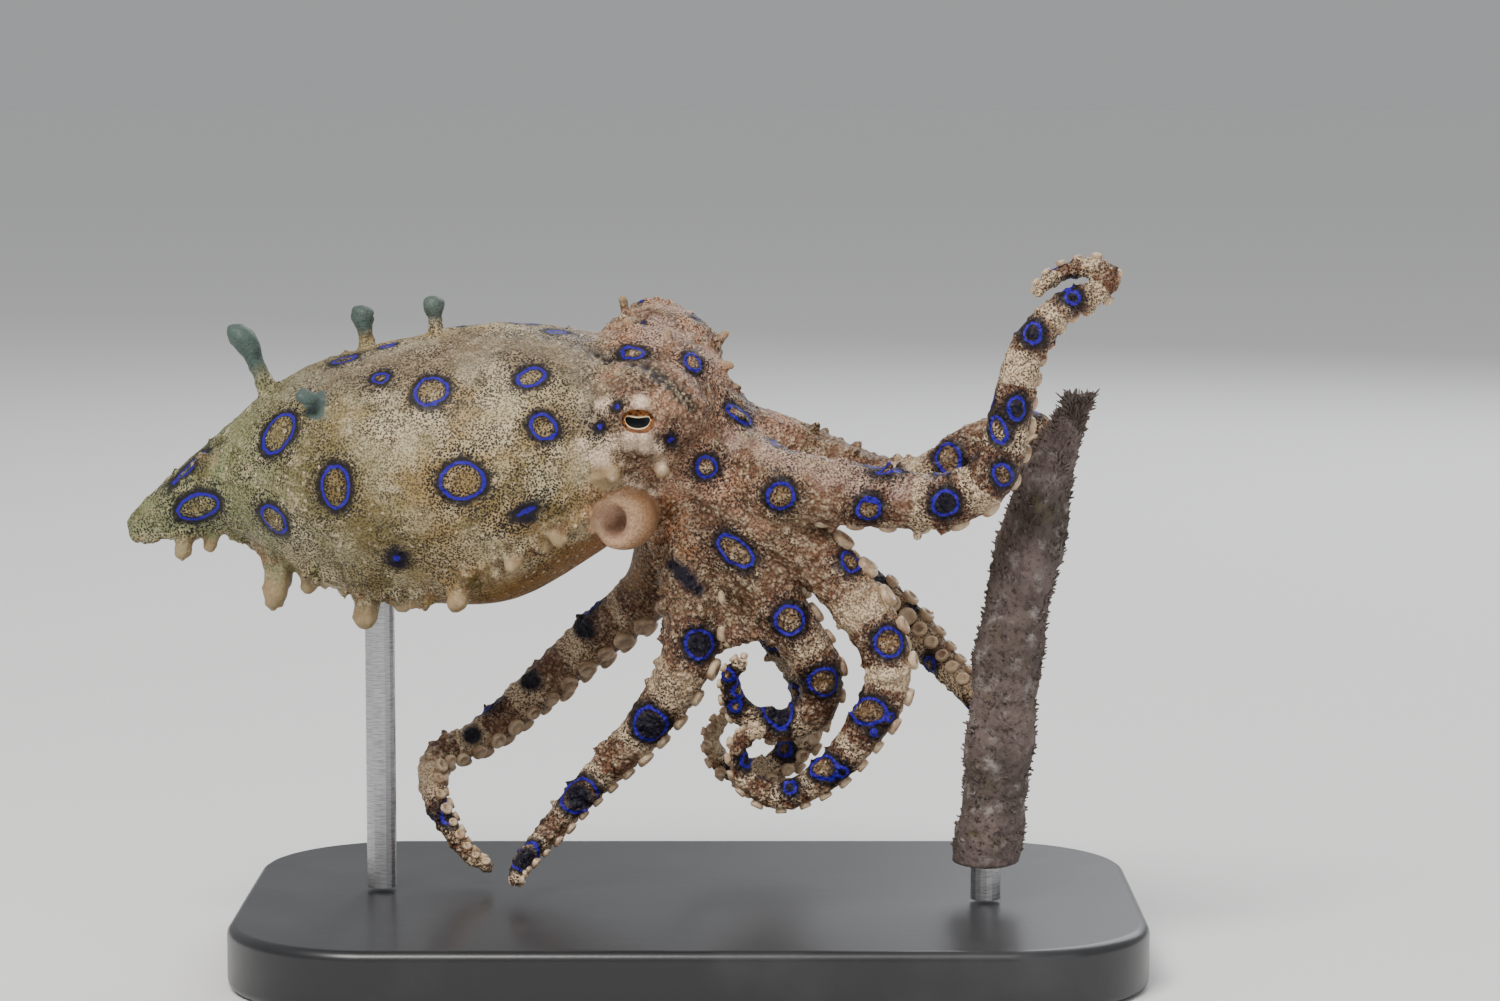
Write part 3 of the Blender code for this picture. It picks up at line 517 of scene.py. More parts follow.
@dataclass(frozen=True)
class Crown:
    """The ring of arm roots round the mouth, and the web between them."""

    centre: Triple = (1.8, 0.5, 38.4)
    mouth_way: Triple = (0.68, 0.35, -0.64)
    radius: float = 5.0
    root_ring: float = 4.0
    web_length: float = 11.0
    root_length: float = 12.6
    web_notch: float = 0.45
    long_web_reach: float = 16.5
    long_web_notch: float = 0.08
    long_web_pair: tuple[str, str] = ("3", "4")
    web_thickness: float = 1.3

    @property
    def middle(self) -> Array:
        """Its centre as an array."""
        return np.array(self.centre)

    @property
    def mouth(self) -> Array:
        """The direction that the mouth faces."""
        return unit(np.array(self.mouth_way))

    def root(self, degrees: float) -> Array:
        """Where an arm leaves the ring."""
        back = unit(DORSAL - self.mouth * (DORSAL @ self.mouth))
        return self.middle + turned_to(back, -RIGHT, math.radians(degrees)) * self.root_ring


@dataclass(frozen=True)
class Grip:
    """How an arm lies along the stem's far side."""

    start_degrees: float = 125.0
    sway_degrees: float = 50.0
    sway_radians: float = 2.7
    start_height: float = 42.6
    drop: float = 15.6
    clearance: float = 1.15
    arm_radius: float = 1.35
    points: int = 10

    def route(self, stem: Stem) -> Array:
        """The points of the last stretch."""
        share = np.linspace(0, 1, self.points)
        sway = self.sway_degrees * np.sin(self.sway_radians * share)
        angle = np.radians(self.start_degrees - sway)
        height = self.start_height - self.drop * share
        reach = stem.width(height) + self.clearance + self.arm_radius * (1 - 0.62 * share)
        return stem.middle(height) + turned_to(FRONT, FAR, angle) * reach[:, None]


STEM = Stem()
CROWN = Crown()
GRIP = Grip()


class ArmLine:
    """An arm's middle line: points, directions, sucker side and radius along it."""

    ROOT_RADIUS = 3.0
    TIP_RADIUS = 0.32
    TAPER = 0.85
    FLATTENING = 0.86
    STEP = 0.4
    SEGMENTS = 28
    RING_STEP = 0.45
    ROOT_SHARE = 0.22
    ROOT_INWARDS = 0.6
    GRIP_FROM = 21.0
    GRIP_OVER = 3.0
    GRIP_SHARE = 0.6

    def __init__(self, arm: Arm) -> None:
        """Works the line out from the arm's route."""
        self.arm = arm
        root = CROWN.root(arm.root_degrees)
        route = [CROWN.middle * 0.75 + root * 0.25, root, *(np.array(p) for p in arm.route)]
        if arm.grips_stem:
            route += list(GRIP.route(STEM))
        self.points = self.smooth(np.array(route, float))
        steps = norms(np.diff(self.points, axis=0))
        self.along = np.concatenate([[0.0], np.cumsum(steps)])
        self.length = float(self.along[-1])
        self.ways = unit(np.gradient(self.points, axis=0))
        self.orals = np.array([self.oral(i) for i in range(len(self.points))])

    @classmethod
    def smooth(cls, route: Array) -> Array:
        """Points at even steps along a smooth curve through the route."""
        ends = np.concatenate([[route[0] * 2 - route[1]], route, [route[-1] * 2 - route[-2]]])
        t = (np.arange(24) / 24)[:, None]
        runs = []
        for before, a, b, after in zip(ends, ends[1:], ends[2:], ends[3:]):
            runs.append(0.5 * (2 * a + (b - before) * t
                               + (2 * before - 5 * a + 4 * b - after) * t ** 2
                               + (3 * a - before - 3 * b + after) * t ** 3))
        fine = np.concatenate([*runs, route[-1:]])
        run = np.concatenate([[0], np.cumsum(norms(np.diff(fine, axis=0)))])
        even = np.linspace(0, run[-1], round(run[-1] / cls.STEP) + 1)
        return np.stack([np.interp(even, run, fine[:, k]) for k in range(3)], axis=1)

    def oral(self, i: int) -> Array:
        """The direction that the suckers face at one point of the line."""
        way, point, arm = self.ways[i], self.points[i], self.arm
        face = np.cross(way, FAR) * arm.curl + FAR * arm.away
        share = i / (len(self.points) - 1)
        near = max(0.0, 1 - share / self.ROOT_SHARE)
        off = point - CROWN.middle
        inwards = -unit(off - CROWN.mouth * (off @ CROWN.mouth))
        face = face * (1 - near) + (CROWN.mouth + inwards * self.ROOT_INWARDS) * near
        if arm.grips_stem and point[0] > self.GRIP_FROM:
            middle = STEM.middle(np.array(min(point[2], STEM.span[1])))
            hold = 1.0
            if share < self.GRIP_SHARE:
                hold = min(1.0, (point[0] - self.GRIP_FROM) / self.GRIP_OVER)
            face = face * (1 - hold) + unit(middle - point) * hold
        return unit(face - way * (face @ way))

    def radius(self, along: Array) -> Array:
        """The arm's radius at distances from its start."""
        share = np.clip(1 - along / self.length, 0, 1)
        return self.TIP_RADIUS + (self.ROOT_RADIUS - self.TIP_RADIUS) * share ** self.TAPER

    def frame(self, along: Array) -> tuple[Array, Array, Array]:
        """Middle points, directions and sucker sides at distances from the start."""
        def read(rows: Array) -> Array:
            return np.stack([np.interp(along, self.along, rows[:, k]) for k in range(3)], -1)
        middle, way, oral = read(self.points), unit(read(self.ways)), read(self.orals)
        return middle, way, unit(oral - way * (oral * way).sum(-1, keepdims=True))

    def at(self, along: float) -> tuple[Array, Array, Array, float]:
        """Middle point, direction, sucker side and radius at one distance."""
        spot = np.array(along)
        return *self.frame(spot), float(self.radius(spot))

    def tube(self, name: str, start: float, end: float, grow: float) -> Obj:
        """A closed length of the arm, flatter on the sucker side."""
        def place(share: Array, angle: Array) -> Array:
            along = start + (end - start) * share
            middle, way, oral = self.frame(along)
            side = np.cross(way, oral)
            down = np.cos(angle) * np.where(np.cos(angle) > 0, self.FLATTENING, 1.0)
            out = oral * down[:, None] + side * np.sin(angle)[:, None]
            return middle + out * (self.radius(along) + grow)[:, None]
        rings = max(8, round((end - start) / self.RING_STEP))
        return Bench.ball(name, self.SEGMENTS, rings, place)


@dataclass(frozen=True)
class Mantle:
    """The bag of the body: its line, girth, ridge, papillae and clubs."""

    tail: Triple = (-46.2, 1.0, 34.3)
    neck: Triple = (-6.4, 0.0, 41.7)
    arch: float = 0.9
    belly_share: float = 0.72
    half_height: float = 10.3
    widening: float = 1.05
    neck_radius: float = 7.6
    tail_power: float = 0.85
    swellings: tuple[tuple[float, float, float, float], ...] = (
        (0.25, 0.165, -1.7, 1.7), (0.36, 0.145, 0.65, 0.65), (0.81, 0.155, 0.7, -0.7))
    ridge_angle: float = 128.0
    ridge_width: float = 13.0
    ridge_height: float = 0.7
    ridge_shares: tuple[float, ...] = (0.13, 0.2, 0.32, 0.52, 0.61, 0.71, 0.81, 0.91, 1.0)
    ridge_angles: tuple[float, ...] = (122, 134, 137, 134, 127, 113, 101, 96, 94)
    papillae: tuple[tuple[float, float, float, float], ...] = (
        (0.15, 122, 2.3, 0.85), (0.20, 138, 1.6, 0.7), (0.34, 138, 4.2, 1.2),
        (0.40, 136, 1.6, 0.7), (0.52, 134, 2.7, 1.1), (0.59, 128, 1.1, 0.7),
        (0.71, 113, 2.3, 1.0), (0.82, 98, 1.7, 0.7), (0.91, 96, 1.3, 0.6),
        (0.19, 20, 1.2, 0.6), (0.46, -78, 1.6, 0.7), (0.57, -70, 1.8, 0.8),
        (0.73, -80, 1.6, 0.7), (0.28, -75, 1.7, 0.7))
    clubs: tuple[tuple[float, float, float, float, float], ...] = (
        (0.325, -26, 5.1, 1.2, 2.9), (0.515, -34, 3.4, 0.95, 0.6),
        (0.655, -28, 3.0, 0.9, 0.3), (0.46, 20, 1.3, 0.75, 2.5))
    left_from: float = 100.0
    left_shift: float = 0.03
    reach: float = 6.0
    front_edge: tuple[float, float] = (0.98, 1.06)

    def swelling(self, share: Array) -> tuple[Array, Array]:
        """What is added to a plain bag's half height and to the height of its axis."""
        wide, high = np.zeros_like(share), np.zeros_like(share)
        for at, length, added, lift in self.swellings:
            weight = bell(share, at, length)
            wide, high = wide + added * weight, high + lift * weight
        return wide, high

    def ridge(self, share: Array) -> Array:
        """The ridge's angle from the back, which rises towards the funnel."""
        return np.interp(share, self.ridge_shares, self.ridge_angles)

    def radius(self, share: Array) -> Array:
        """The half height along the line, from the tail to the neck."""
        swell = np.sin(math.pi / 2 * np.clip(share / self.belly_share, 0, 1))
        turn = (share - self.belly_share) / (1.12 - self.belly_share)
        narrow = np.cos(math.pi / 2 * np.clip(turn, 0, 1))
        low = self.neck_radius * 0.8
        front = low + (self.half_height - low) * narrow
        back = self.half_height * swell ** self.tail_power
        return np.where(share <= self.belly_share, back, front) + self.swelling(share)[0]

    def middle(self, share: Array) -> Array:
        """Points of the long axis, which arches and follows the swellings."""
        share = np.asarray(share, float)[..., None]
        tail, neck = np.array(self.tail), np.array(self.neck)
        lift = self.arch * np.sin(math.pi * np.clip(share, 0, 1)) + self.swelling(share)[1]
        return tail + (neck - tail) * share + UP * lift

    def way(self, degrees: Array) -> Array:
        """The directions out of the axis, by the angle from the back to the right side."""
        return turned_to(DORSAL, RIGHT, np.radians(degrees))

    def point(self, share: Array, degrees: Array) -> Array:
        """Points of the surface, with the low ridge along each flank."""
        share, degrees = np.asarray(share, float), np.asarray(degrees, float)
        angle = np.radians(degrees)
        radius = self.radius(share)
        out = 1 / np.hypot(np.cos(angle) / radius, np.sin(angle) / (radius * self.widening))
        turn = np.abs((degrees + 180) % 360 - 180)
        out = out + (self.ridge_height * np.sin(math.pi * np.clip(share, 0, 1))
                     * bell(turn, self.ridge_angle, self.ridge_width))
        return self.middle(share) + self.way(degrees) * out[..., None]

    def spot(self, share: float, degrees: float) -> tuple[Array, Array]:
        """One point of the surface and the direction out of the axis there."""
        return self.point(share, degrees), self.way(degrees)

    def read(self, points: Array) -> tuple[Array, Array, Array]:
        """How far points belong to the mantle, their angle from the back and their share.

        Args:
            points: places in millimetres.

        Returns:
            A weight from 0 to 1, degrees without sign, and the share of the length.
        """
        tail = np.array(self.tail)
        axis = np.array(self.neck) - tail
        share = (points - tail) @ axis / (axis @ axis)
        off = points - self.middle(share)
        degrees = np.abs(np.degrees(np.arctan2(off @ RIGHT, off @ DORSAL)))
        near = norms(off) < self.radius(np.clip(share, 0, 1)) + self.reach
        return (1 - smoothstep(*self.front_edge, share)) * near, degrees, share

    def form(self) -> Obj:
        """The closed bag, from the tail's point to inside the head."""
        def place(share: Array, angle: Array) -> Array:
            return self.point(0.012 + 1.07 * share, np.degrees(angle))
        return Bench.ball("mantle_form", 128, 110, place)

    def spots(self) -> list[tuple[float, float, float, float]]:
        """Every pointed papilla, with the left flank's own."""
        found = list(self.papillae)
        for share, degrees, height, radius in self.papillae:
            if degrees > self.left_from:
                found.append((share + self.left_shift, -degrees - 2, height * 0.9, radius))
        return found


@dataclass(frozen=True)
class Head:
    """The head, its eye mounds and lids, and the few papillae round the eyes."""

    centre: Triple = (-3.2, 0.0, 43.7)
    radii: Triple = (7.0, 7.0, 7.2)
    eye_lateral: float = 4.6
    eye_dorsal: tuple[float, float] = (3.2, 2.3)
    eye_forward: tuple[float, float] = (-0.5, 0.6)
    eye_looks_up: float = 1.76
    mound_radii: Triple = (5.2, 4.3, 4.3)
    skin_out: float = 3.0
    outside: float = 20.0
    ball_radius: float = 2.3
    ball_out: float = 2.35
    lid_half_width: float = 1.85
    lid_half_height: float = 1.25
    lid_thickness: float = 0.55
    lid_out: float = 4.3
    lid_shift: tuple[float, float] = (-0.2, 0.6)
    opening: tuple[float, float] = (1.42, 1.0)
    papillae: tuple[tuple[Triple, float, float], ...] = (
        ((0.9, -6.7, -3.0), 2.0, 0.65), ((-2.0, -6.4, -3.0), 0.9, 0.7),
        ((-2.2, 2.5, 9.0), 1.7, 0.45), ((6.2, 2.4, 6.5), 1.4, 0.5),
        ((5.6, -1.0, 3.6), 1.0, 0.5), ((-1.6, -1.0, 7.0), 1.0, 0.5),
        ((1.5, -3.0, 6.5), 0.9, 0.5), ((2.0, 6.5, 3.0), 1.4, 0.6))

    def mound(self, side: Side) -> Array:
        """The middle of a side's eye mound. The head is turned a little."""
        number = list(Side).index(side)
        return (np.array(self.centre) + side.way * self.eye_lateral
                + DORSAL * self.eye_dorsal[number] + FRONT * self.eye_forward[number])

    def look(self, side: Side) -> Array:
        """The direction in which a side's eye looks."""
        return unit(side.way * self.eye_lateral + DORSAL * self.eye_looks_up)

    def axes(self, side: Side) -> tuple[Array, Array, Array]:
        """The eye's own directions: along the slit, across it and out."""
        out = self.look(side)
        along = unit(FRONT - out * out[0])
        across = np.cross(out, along)
        return along, across if across[2] > 0 else -across, out

    def from_eyes(self, points: Array) -> Array:
        """How far each point is from the nearer eye's place on the skin."""
        return np.min([norms(points - self.mound(side) - self.look(side) * self.skin_out)
                       for side in Side], axis=0)

    def skin(self, core: "Surface", out: Array) -> Array | None:
        """Where the body's surface is met in a direction from the head's middle."""
        return core.met(np.array(self.centre) + out * self.outside, -out)

    def slit(self, side: Side) -> Array:
        """The mound's middle, moved to lie under the middle of the open lids."""
        along, across, _ = self.axes(side)
        return self.mound(side) + along * self.lid_shift[0] + across * self.lid_shift[1]

    def lid(self, side: Side) -> Obj:
        """The fold of skin round an eye."""
        Bench.deselect()
        bpy.ops.mesh.primitive_torus_add(major_radius=1.0, minor_radius=0.2,
                                         major_segments=64, minor_segments=20)
        obj = bpy.context.object
        raw = Bench.points(obj) * MM
        along, across, out = self.axes(side)
        angle = np.arctan2(raw[:, 1], raw[:, 0])[:, None]
        wide, high = self.lid_half_width, self.lid_half_height
        ring = along * wide * np.cos(angle) + across * high * np.sin(angle)
        off = (np.hypot(raw[:, 0], raw[:, 1]) - 1)[:, None] / 0.2 * self.lid_thickness
        lift = raw[:, 2:3] / 0.2 * self.lid_thickness
        moved = self.slit(side) + out * self.lid_out + ring + unit(ring) * off + out * lift
        Bench.move_points(obj, moved)
        Bench.outwards(obj)
        return obj


@dataclass(frozen=True)
class Siphon:
    """The funnel under the head, a round tube with an open end."""

    root: Triple = (-4.4, 0.5, 36.5)
    end: Triple = (-5.1, -7.3, 35.8)
    profile: tuple[tuple[float, float], ...] = (
        (0.0, 0.0), (0.0, 1.9), (0.25, 2.25), (0.5, 2.4), (0.72, 2.46), (0.84, 2.42),
        (0.92, 2.24), (0.97, 1.92), (0.99, 1.6), (0.985, 1.34), (0.96, 1.16), (0.9, 1.04),
        (0.8, 0.98), (0.72, 0.8), (0.7, 0.0))
    mouth_shift: float = -0.75
    mouth_stretch: tuple[float, float] = (0.85, 1.15)
    wall: tuple[float, float] = (1.75, 2.5)
    mouth_from: tuple[float, float] = (0.6, 0.85)
    reach: float = 2.66

    @property
    def line(self) -> tuple[Array, Array]:
        """Its foot, and the way from there to its mouth."""
        root = np.array(self.root)
        return root, np.array(self.end) - root

    def form(self) -> Obj:
        """The closed wall of the tube. Its mouth is oval and turned to the tail."""
        root, way = self.line
        obj = Bench.turned("siphon_form", root, way, self.profile, 48, 56)
        points = Bench.points(obj)
        rise, off = round_line(points, root, unit(way))
        inner = 1 - smoothstep(*self.wall, norms(off))
        inner = (inner * smoothstep(*self.mouth_from, rise / np.linalg.norm(way)))[:, None]
        wide, high = self.mouth_stretch
        moved = off * np.array([wide - 1, 0.0, high - 1]) + FRONT * self.mouth_shift
        Bench.move_points(obj, points + moved * inner)
        return obj

    def read(self, points: Array) -> Array:
        """How far along the funnel each point is, from 0 halfway to 1 at its rim."""
        root, way = self.line
        rise, off = round_line(points, root, unit(way))
        share = np.clip(rise / np.linalg.norm(way) * 2 - 1, 0, 1)
        return np.where(norms(off) < self.reach, share, 0.0)


MANTLE = Mantle()
HEAD = Head()
SIPHON = Siphon()
EYEPOINT = Eyepoint()


def placing(base: Array, way: Array, radius: float, height: float,
            lean: Array | None = None) -> Array:
    """The matrix that stands a pattern, made along +Z, on a point.

    Args:
        base: where its foot goes.
        way: the direction that it stands in.
        radius: its width, for a pattern of radius 1.
        height: its height, for a pattern of height 1.
        lean: how far its top is moved aside.

    Returns:
        A matrix of 3 rows and 4 columns.
    """
    up = unit(way)
    side = unit(np.cross(up, FRONT if abs(up[0]) < 0.9 else UP))
    top = up * height + (0 if lean is None else lean)
    return np.stack([side * radius, np.cross(up, side) * radius, top, base], axis=1)


class Wire:
    """A value on its way through a finish's nodes, so that sums are written as sums."""

    def __init__(self, nodes: "Nodes", socket: bpy.types.NodeSocket) -> None:
        """Holds the nodes and the output that the value comes from."""
        self.nodes = nodes
        self.socket = socket

    def math(self, operation: str, *values: object) -> "Wire":
        """The result of one step of arithmetic with this value."""
        return self.nodes.add("ShaderNodeMath", {"operation": operation},
                              dict(enumerate((self, *values))))

    def __add__(self, other: object) -> "Wire":
        """This value plus another."""
        return self.math("ADD", other)

    def __sub__(self, other: object) -> "Wire":
        """This value less another."""
        return self.math("SUBTRACT", other)

    def __mul__(self, other: object) -> "Wire":
        """This value times another."""
        return self.math("MULTIPLY", other)

    def __truediv__(self, other: object) -> "Wire":
        """This value over another."""
        return self.math("DIVIDE", other)

    def __rsub__(self, other: float) -> "Wire":
        """A number less this value."""
        return self.nodes.add("ShaderNodeMath", {"operation": "SUBTRACT"}, {0: other, 1: self})

    __radd__ = __add__
    __rmul__ = __mul__

    def size(self) -> "Wire":
        """This value without its sign."""
        return self.math("ABSOLUTE")

    def smallest(self, other: object) -> "Wire":
        """The smaller of two values."""
        return self.math("MINIMUM", other)

    def largest(self, other: object) -> "Wire":
        """The larger of two values."""
        return self.math("MAXIMUM", other)

    def step(self, low: float, high: float) -> "Wire":
        """A soft step of this value: 0 at low and 1 at high."""
        return self.nodes.add("ShaderNodeMapRange", {"interpolation_type": "SMOOTHSTEP"},
                              {0: self, 1: low, 2: high, 3: 0.0, 4: 1.0})


@dataclass(frozen=True)
class Colour:
    """A colour as a screen shows it, each part from 0 to 255."""

    red: float
    green: float
    blue: float

    @property
    def paint(self) -> tuple[float, float, float, float]:
        """The same colour as light that a surface returns."""
        parts = [(p / 255 / 12.92 if p < 10.3 else ((p / 255 + 0.055) / 1.055) ** 2.4)
                 for p in (self.red, self.green, self.blue)]
        return (*parts, 1.0)


class Nodes:
    """A finish being put together."""

    def __init__(self, name: str) -> None:
        """Starts a material with a Principled shader."""
        self.material = bpy.data.materials.new(name)
        self.material.use_nodes = True
        self.tree = self.material.node_tree
        self.shader = self.tree.nodes["Principled BSDF"]

    def add(self, kind: str, settings: dict[str, object], values: dict[object, object],
            output: int | str = 0) -> Wire:
        """Adds one node.

        Args:
            kind: the node's type.
            settings: its own properties, set before its inputs.
            values: what goes into its inputs, by name or place.
            output: which output is wanted.

        Returns:
            That output.
        """
        node = self.tree.nodes.new(kind)
        for key, value in settings.items():
            setattr(node, key, value)
        for key, value in values.items():
            if isinstance(value, Wire):
                self.tree.links.new(value.socket, node.inputs[key])
            else:
                node.inputs[key].default_value = value
        return Wire(self, node.outputs[output])

    def place(self, stretch: Triple = (1, 1, 1)) -> Wire:
        """The place on the piece, stretched where a pattern runs one way."""
        spot = self.add("ShaderNodeTexCoord", {}, {}, "Object")
        return self.add("ShaderNodeMapping", {}, {"Vector": spot, "Scale": stretch})

    def painted(self, name: str) -> Wire:
        """A number stored on the piece's points."""
        return self.add("ShaderNodeAttribute", {"attribute_name": name}, {}, "Fac")

    def cloud(self, per_metre: float, detail: float = 3.0, rough: float = 0.55,
              twist: float = 0.0, where: Wire | None = None) -> Wire:
        """Cloudy noise from 0 to 1."""
        return self.add("ShaderNodeTexNoise", {}, {
            "Vector": where or self.place(), "Scale": per_metre, "Detail": detail,
            "Roughness": rough, "Distortion": twist})

    def cells(self, per_metre: float, output: str = "Distance") -> Wire:
        """Cells: the distance to the nearest middle, or a random number for each."""
        return self.add("ShaderNodeTexVoronoi", {}, {
            "Vector": self.place(), "Scale": per_metre, "Randomness": 1.0}, output)

    def mix(self, share: object, first: object, second: object) -> Wire:
        """A colour between two."""
        ends = [c.paint if isinstance(c, Colour) else c for c in (first, second)]
        return self.add("ShaderNodeMix", {"data_type": "RGBA"},
                        {0: share, 6: ends[0], 7: ends[1]}, 2)

    def relief(self, height: Wire, depth: float, strength: float = 1.0) -> Wire:
        """A fine relief for the shader.

        Args:
            height: the relief, from 0 to 1.
            depth: how deep it is, in millimetres.
            strength: how much of it shows.
        """
        return self.add("ShaderNodeBump", {}, {"Height": height, "Distance": depth * MM,
                                               "Strength": strength})

    def done(self, **inputs: object) -> bpy.types.Material:
        """Sets the shader's inputs, with _ for a space, and gives the material."""
        for key, value in inputs.items():
            socket = self.shader.inputs[key.replace("_", " ")]
            if isinstance(value, Wire):
                self.tree.links.new(value.socket, socket)
            elif isinstance(value, Colour):
                socket.default_value = value.paint
            else:
                socket.default_value = value
        return self.material


@dataclass(frozen=True)
class SkinFinish:
    """The mottled skin: tan back, dark belly, banded arms, specks, granules and rings."""

    tan: Colour = Colour(152, 128, 84)
    grey: Colour = Colour(178, 164, 130)
    olive: Colour = Colour(94, 84, 42)
    tail: Colour = Colour(110, 126, 90)
    brown: Colour = Colour(136, 96, 66)
    head: Colour = Colour(168, 124, 98)
    head_dark: Colour = Colour(98, 66, 48)
    mound: Colour = Colour(186, 154, 140)
    # Painted shade under the head and round the arm roots, also used in the shadow patches.
    low: Colour = Colour(92, 62, 40)
    # Painted shade where the mantle meets the head; the spine is darkened with the same grey.
    nape: Colour = Colour(104, 96, 90)
    warm: Colour = Colour(188, 120, 66)
    belly: Colour = Colour(132, 94, 48)
    arm: Colour = Colour(108, 70, 48)
    cream: Colour = Colour(204, 178, 146)
    cheek: Colour = Colour(228, 202, 176)
    papilla: Colour = Colour(152, 132, 100)
    # The clubs' own grey-green, made darker as painted shade.
    club: Colour = Colour(66, 84, 82)
    oral: Colour = Colour(160, 126, 98)
    # Pale granules, and the painted highlight on pebble tops.
    granule_and_highlight: Colour = Colour(228, 206, 172)
    funnel: Colour = Colour(150, 112, 80)
    rim: Colour = Colour(184, 148, 116)
    gape: Colour = Colour(166, 136, 116)
    speck: Colour = Colour(34, 22, 14)
    halo: Colour = Colour(12, 7, 16)
    inside: Colour = Colour(120, 94, 52)
    dark: Colour = Colour(14, 9, 26)
    blue: Colour = Colour(36, 0, 146)
    line_width: float = 0.12

    def ground(self, n: Nodes, large: Wire, middle: Wire) -> Wire:
        """The skin's colour on mantle, head, arms and belly, without its marks, but with painted
        shade, painted highlights and a painted glow.

        Args:
            n: the finish being made.
            large: clouds some millimetres wide.
            middle: clouds about a millimetre wide.

        Returns:
            The colour.
        """
        colour = n.mix(large.step(0.42, 0.62), self.tan, self.grey)
        colour = n.mix(n.painted("tail") * 0.75, colour, self.tail)
        shade = (n.cloud(330, 4, 0.6, 0.5).step(0.5, 0.66) * 0.75).largest(n.painted("flank"))
        colour = n.mix(shade, colour, self.olive)
        # Painted shade at the nape, between mantle and head, and a darker spine.
        colour = n.mix(n.painted("nape") * 0.7, colour, self.nape)
        ridge = n.painted("ridge")
        colour = n.mix(ridge * middle.step(0.4, 0.62) * 0.8, colour, self.brown)
        head = n.mix(n.cloud(280, 4, 0.6).step(0.42, 0.62), self.head, self.head_dark)
        head = n.mix(n.painted("mound") * 0.6, head, self.mound)
        colour = n.mix(n.painted("head"), colour, head)
        ragged = n.painted("pale") + (middle - 0.5) * 1.3
        bands = n.mix(ragged.step(0.15, 0.85), self.arm, self.cream)
        colour = n.mix(n.painted("arm"), colour, bands)
        colour = n.mix(n.painted("belly") * 0.9, colour, self.belly)
        # Painted shade under the head, low down near the arm roots.
        colour = n.mix(n.painted("low") * (0.35 + 0.5 * middle), colour, self.low)
        colour = n.mix(n.painted("warm") * 0.8, colour, self.warm)
        # Painted glow: light through the skin beside the siphon, in the warm colour.
        colour = n.mix(n.painted("glows") * 0.35, colour, self.warm)
        # Painted shade in patches under the head and beneath the cheek.
        colour = n.mix(n.painted("dusks") * (0.15 + 0.7 * middle), colour, self.low)
        colour = n.mix(n.painted("blushes") * (0.3 + 0.7 * middle), colour, self.mound)
        # Pale grey on the crests and in pale patches; the patches next to the head are painted
        # highlight.
        colour = n.mix(n.painted("crests").largest(n.painted("pales")) * 0.55, colour, self.grey)
        # Painted shade darkening the fold over the near eye.
        colour = n.mix((n.painted("fold") * 1.2).smallest(0.95), colour, self.halo)
        colour = n.mix(n.painted("creams") * (0.7 + 0.5 * middle), colour, self.cheek)
        colour = n.mix(n.painted("oral") * 0.7, colour, self.oral)
        share = n.painted("funnel")
        funnel = n.mix(share.step(0.82, 0.98), self.funnel, self.rim)
        funnel = n.mix(n.painted("gape") * 0.85, funnel, self.gape)
        return n.mix(share.step(0.02, 0.25) * 0.9, colour, funnel)

    def make(self) -> bpy.types.Material:
        """The finish."""
        n = Nodes("mottled skin")
        large, middle, fine = n.cloud(240, 4), n.cloud(760, 4, 0.6), n.cloud(2600, 3, 0.6)
        smooth = (n.painted("papilla") + n.painted("club") + n.painted("funnel").step(0.02, 0.3)
                  + n.painted("mound") * 0.5 + n.painted("creams") * 0.7).smallest(1.0)
        rough = 1.0 - smooth * 0.9
        ring = n.painted("ring")
        ragged = ring + (fine - 0.5) * 0.18 + (middle - 0.5) * 0.45
        grains = 1.0 - n.cells(1700).step(0.1, 0.44)
        picked = n.cells(1700, "Color").math("GREATER_THAN", 0.55)
        grains = (grains * picked).largest(n.painted("wart") * 0.7) * rough
        colour = self.ground(n, large, middle)
        colour = n.mix((1.0 - ragged.step(-0.5, -0.15)) * 0.5, colour, self.inside)
        colour = n.mix(grains * (0.3 + 0.5 * large.step(0.35, 0.6)), colour, self.granule_and_highlight)
        stipple = 1.0 - n.cells(3300).step(0.2, 0.46)
        dust = 1.0 - n.cells(5600).step(0.36, 0.56)
        patchy = n.cloud(300, 3).step(0.36, 0.6)
        dots = (stipple * (0.25 + 0.55 * patchy)).largest(dust * (0.55 + 0.4 * patchy))
        pebbly = (n.painted("head") + n.painted("arm")).smallest(1.0) * rough
        pebbles = (1.0 - n.cells(2300).step(0.12, 0.6)) * pebbly
        # Painted highlight on the pebble tops, and fewer dark specks there, so the gaps between
        # pebbles stay darker as painted shade.
        colour = n.mix(pebbles * 0.3, colour, self.granule_and_highlight)
        colour = n.mix(dots * (0.25 + 0.75 * rough) * (1.0 - pebbles * 0.5), colour, self.speck)
        colour = n.mix(n.painted("papilla") * (0.75 - n.painted("creams") * 0.6), colour,
                       self.papilla)
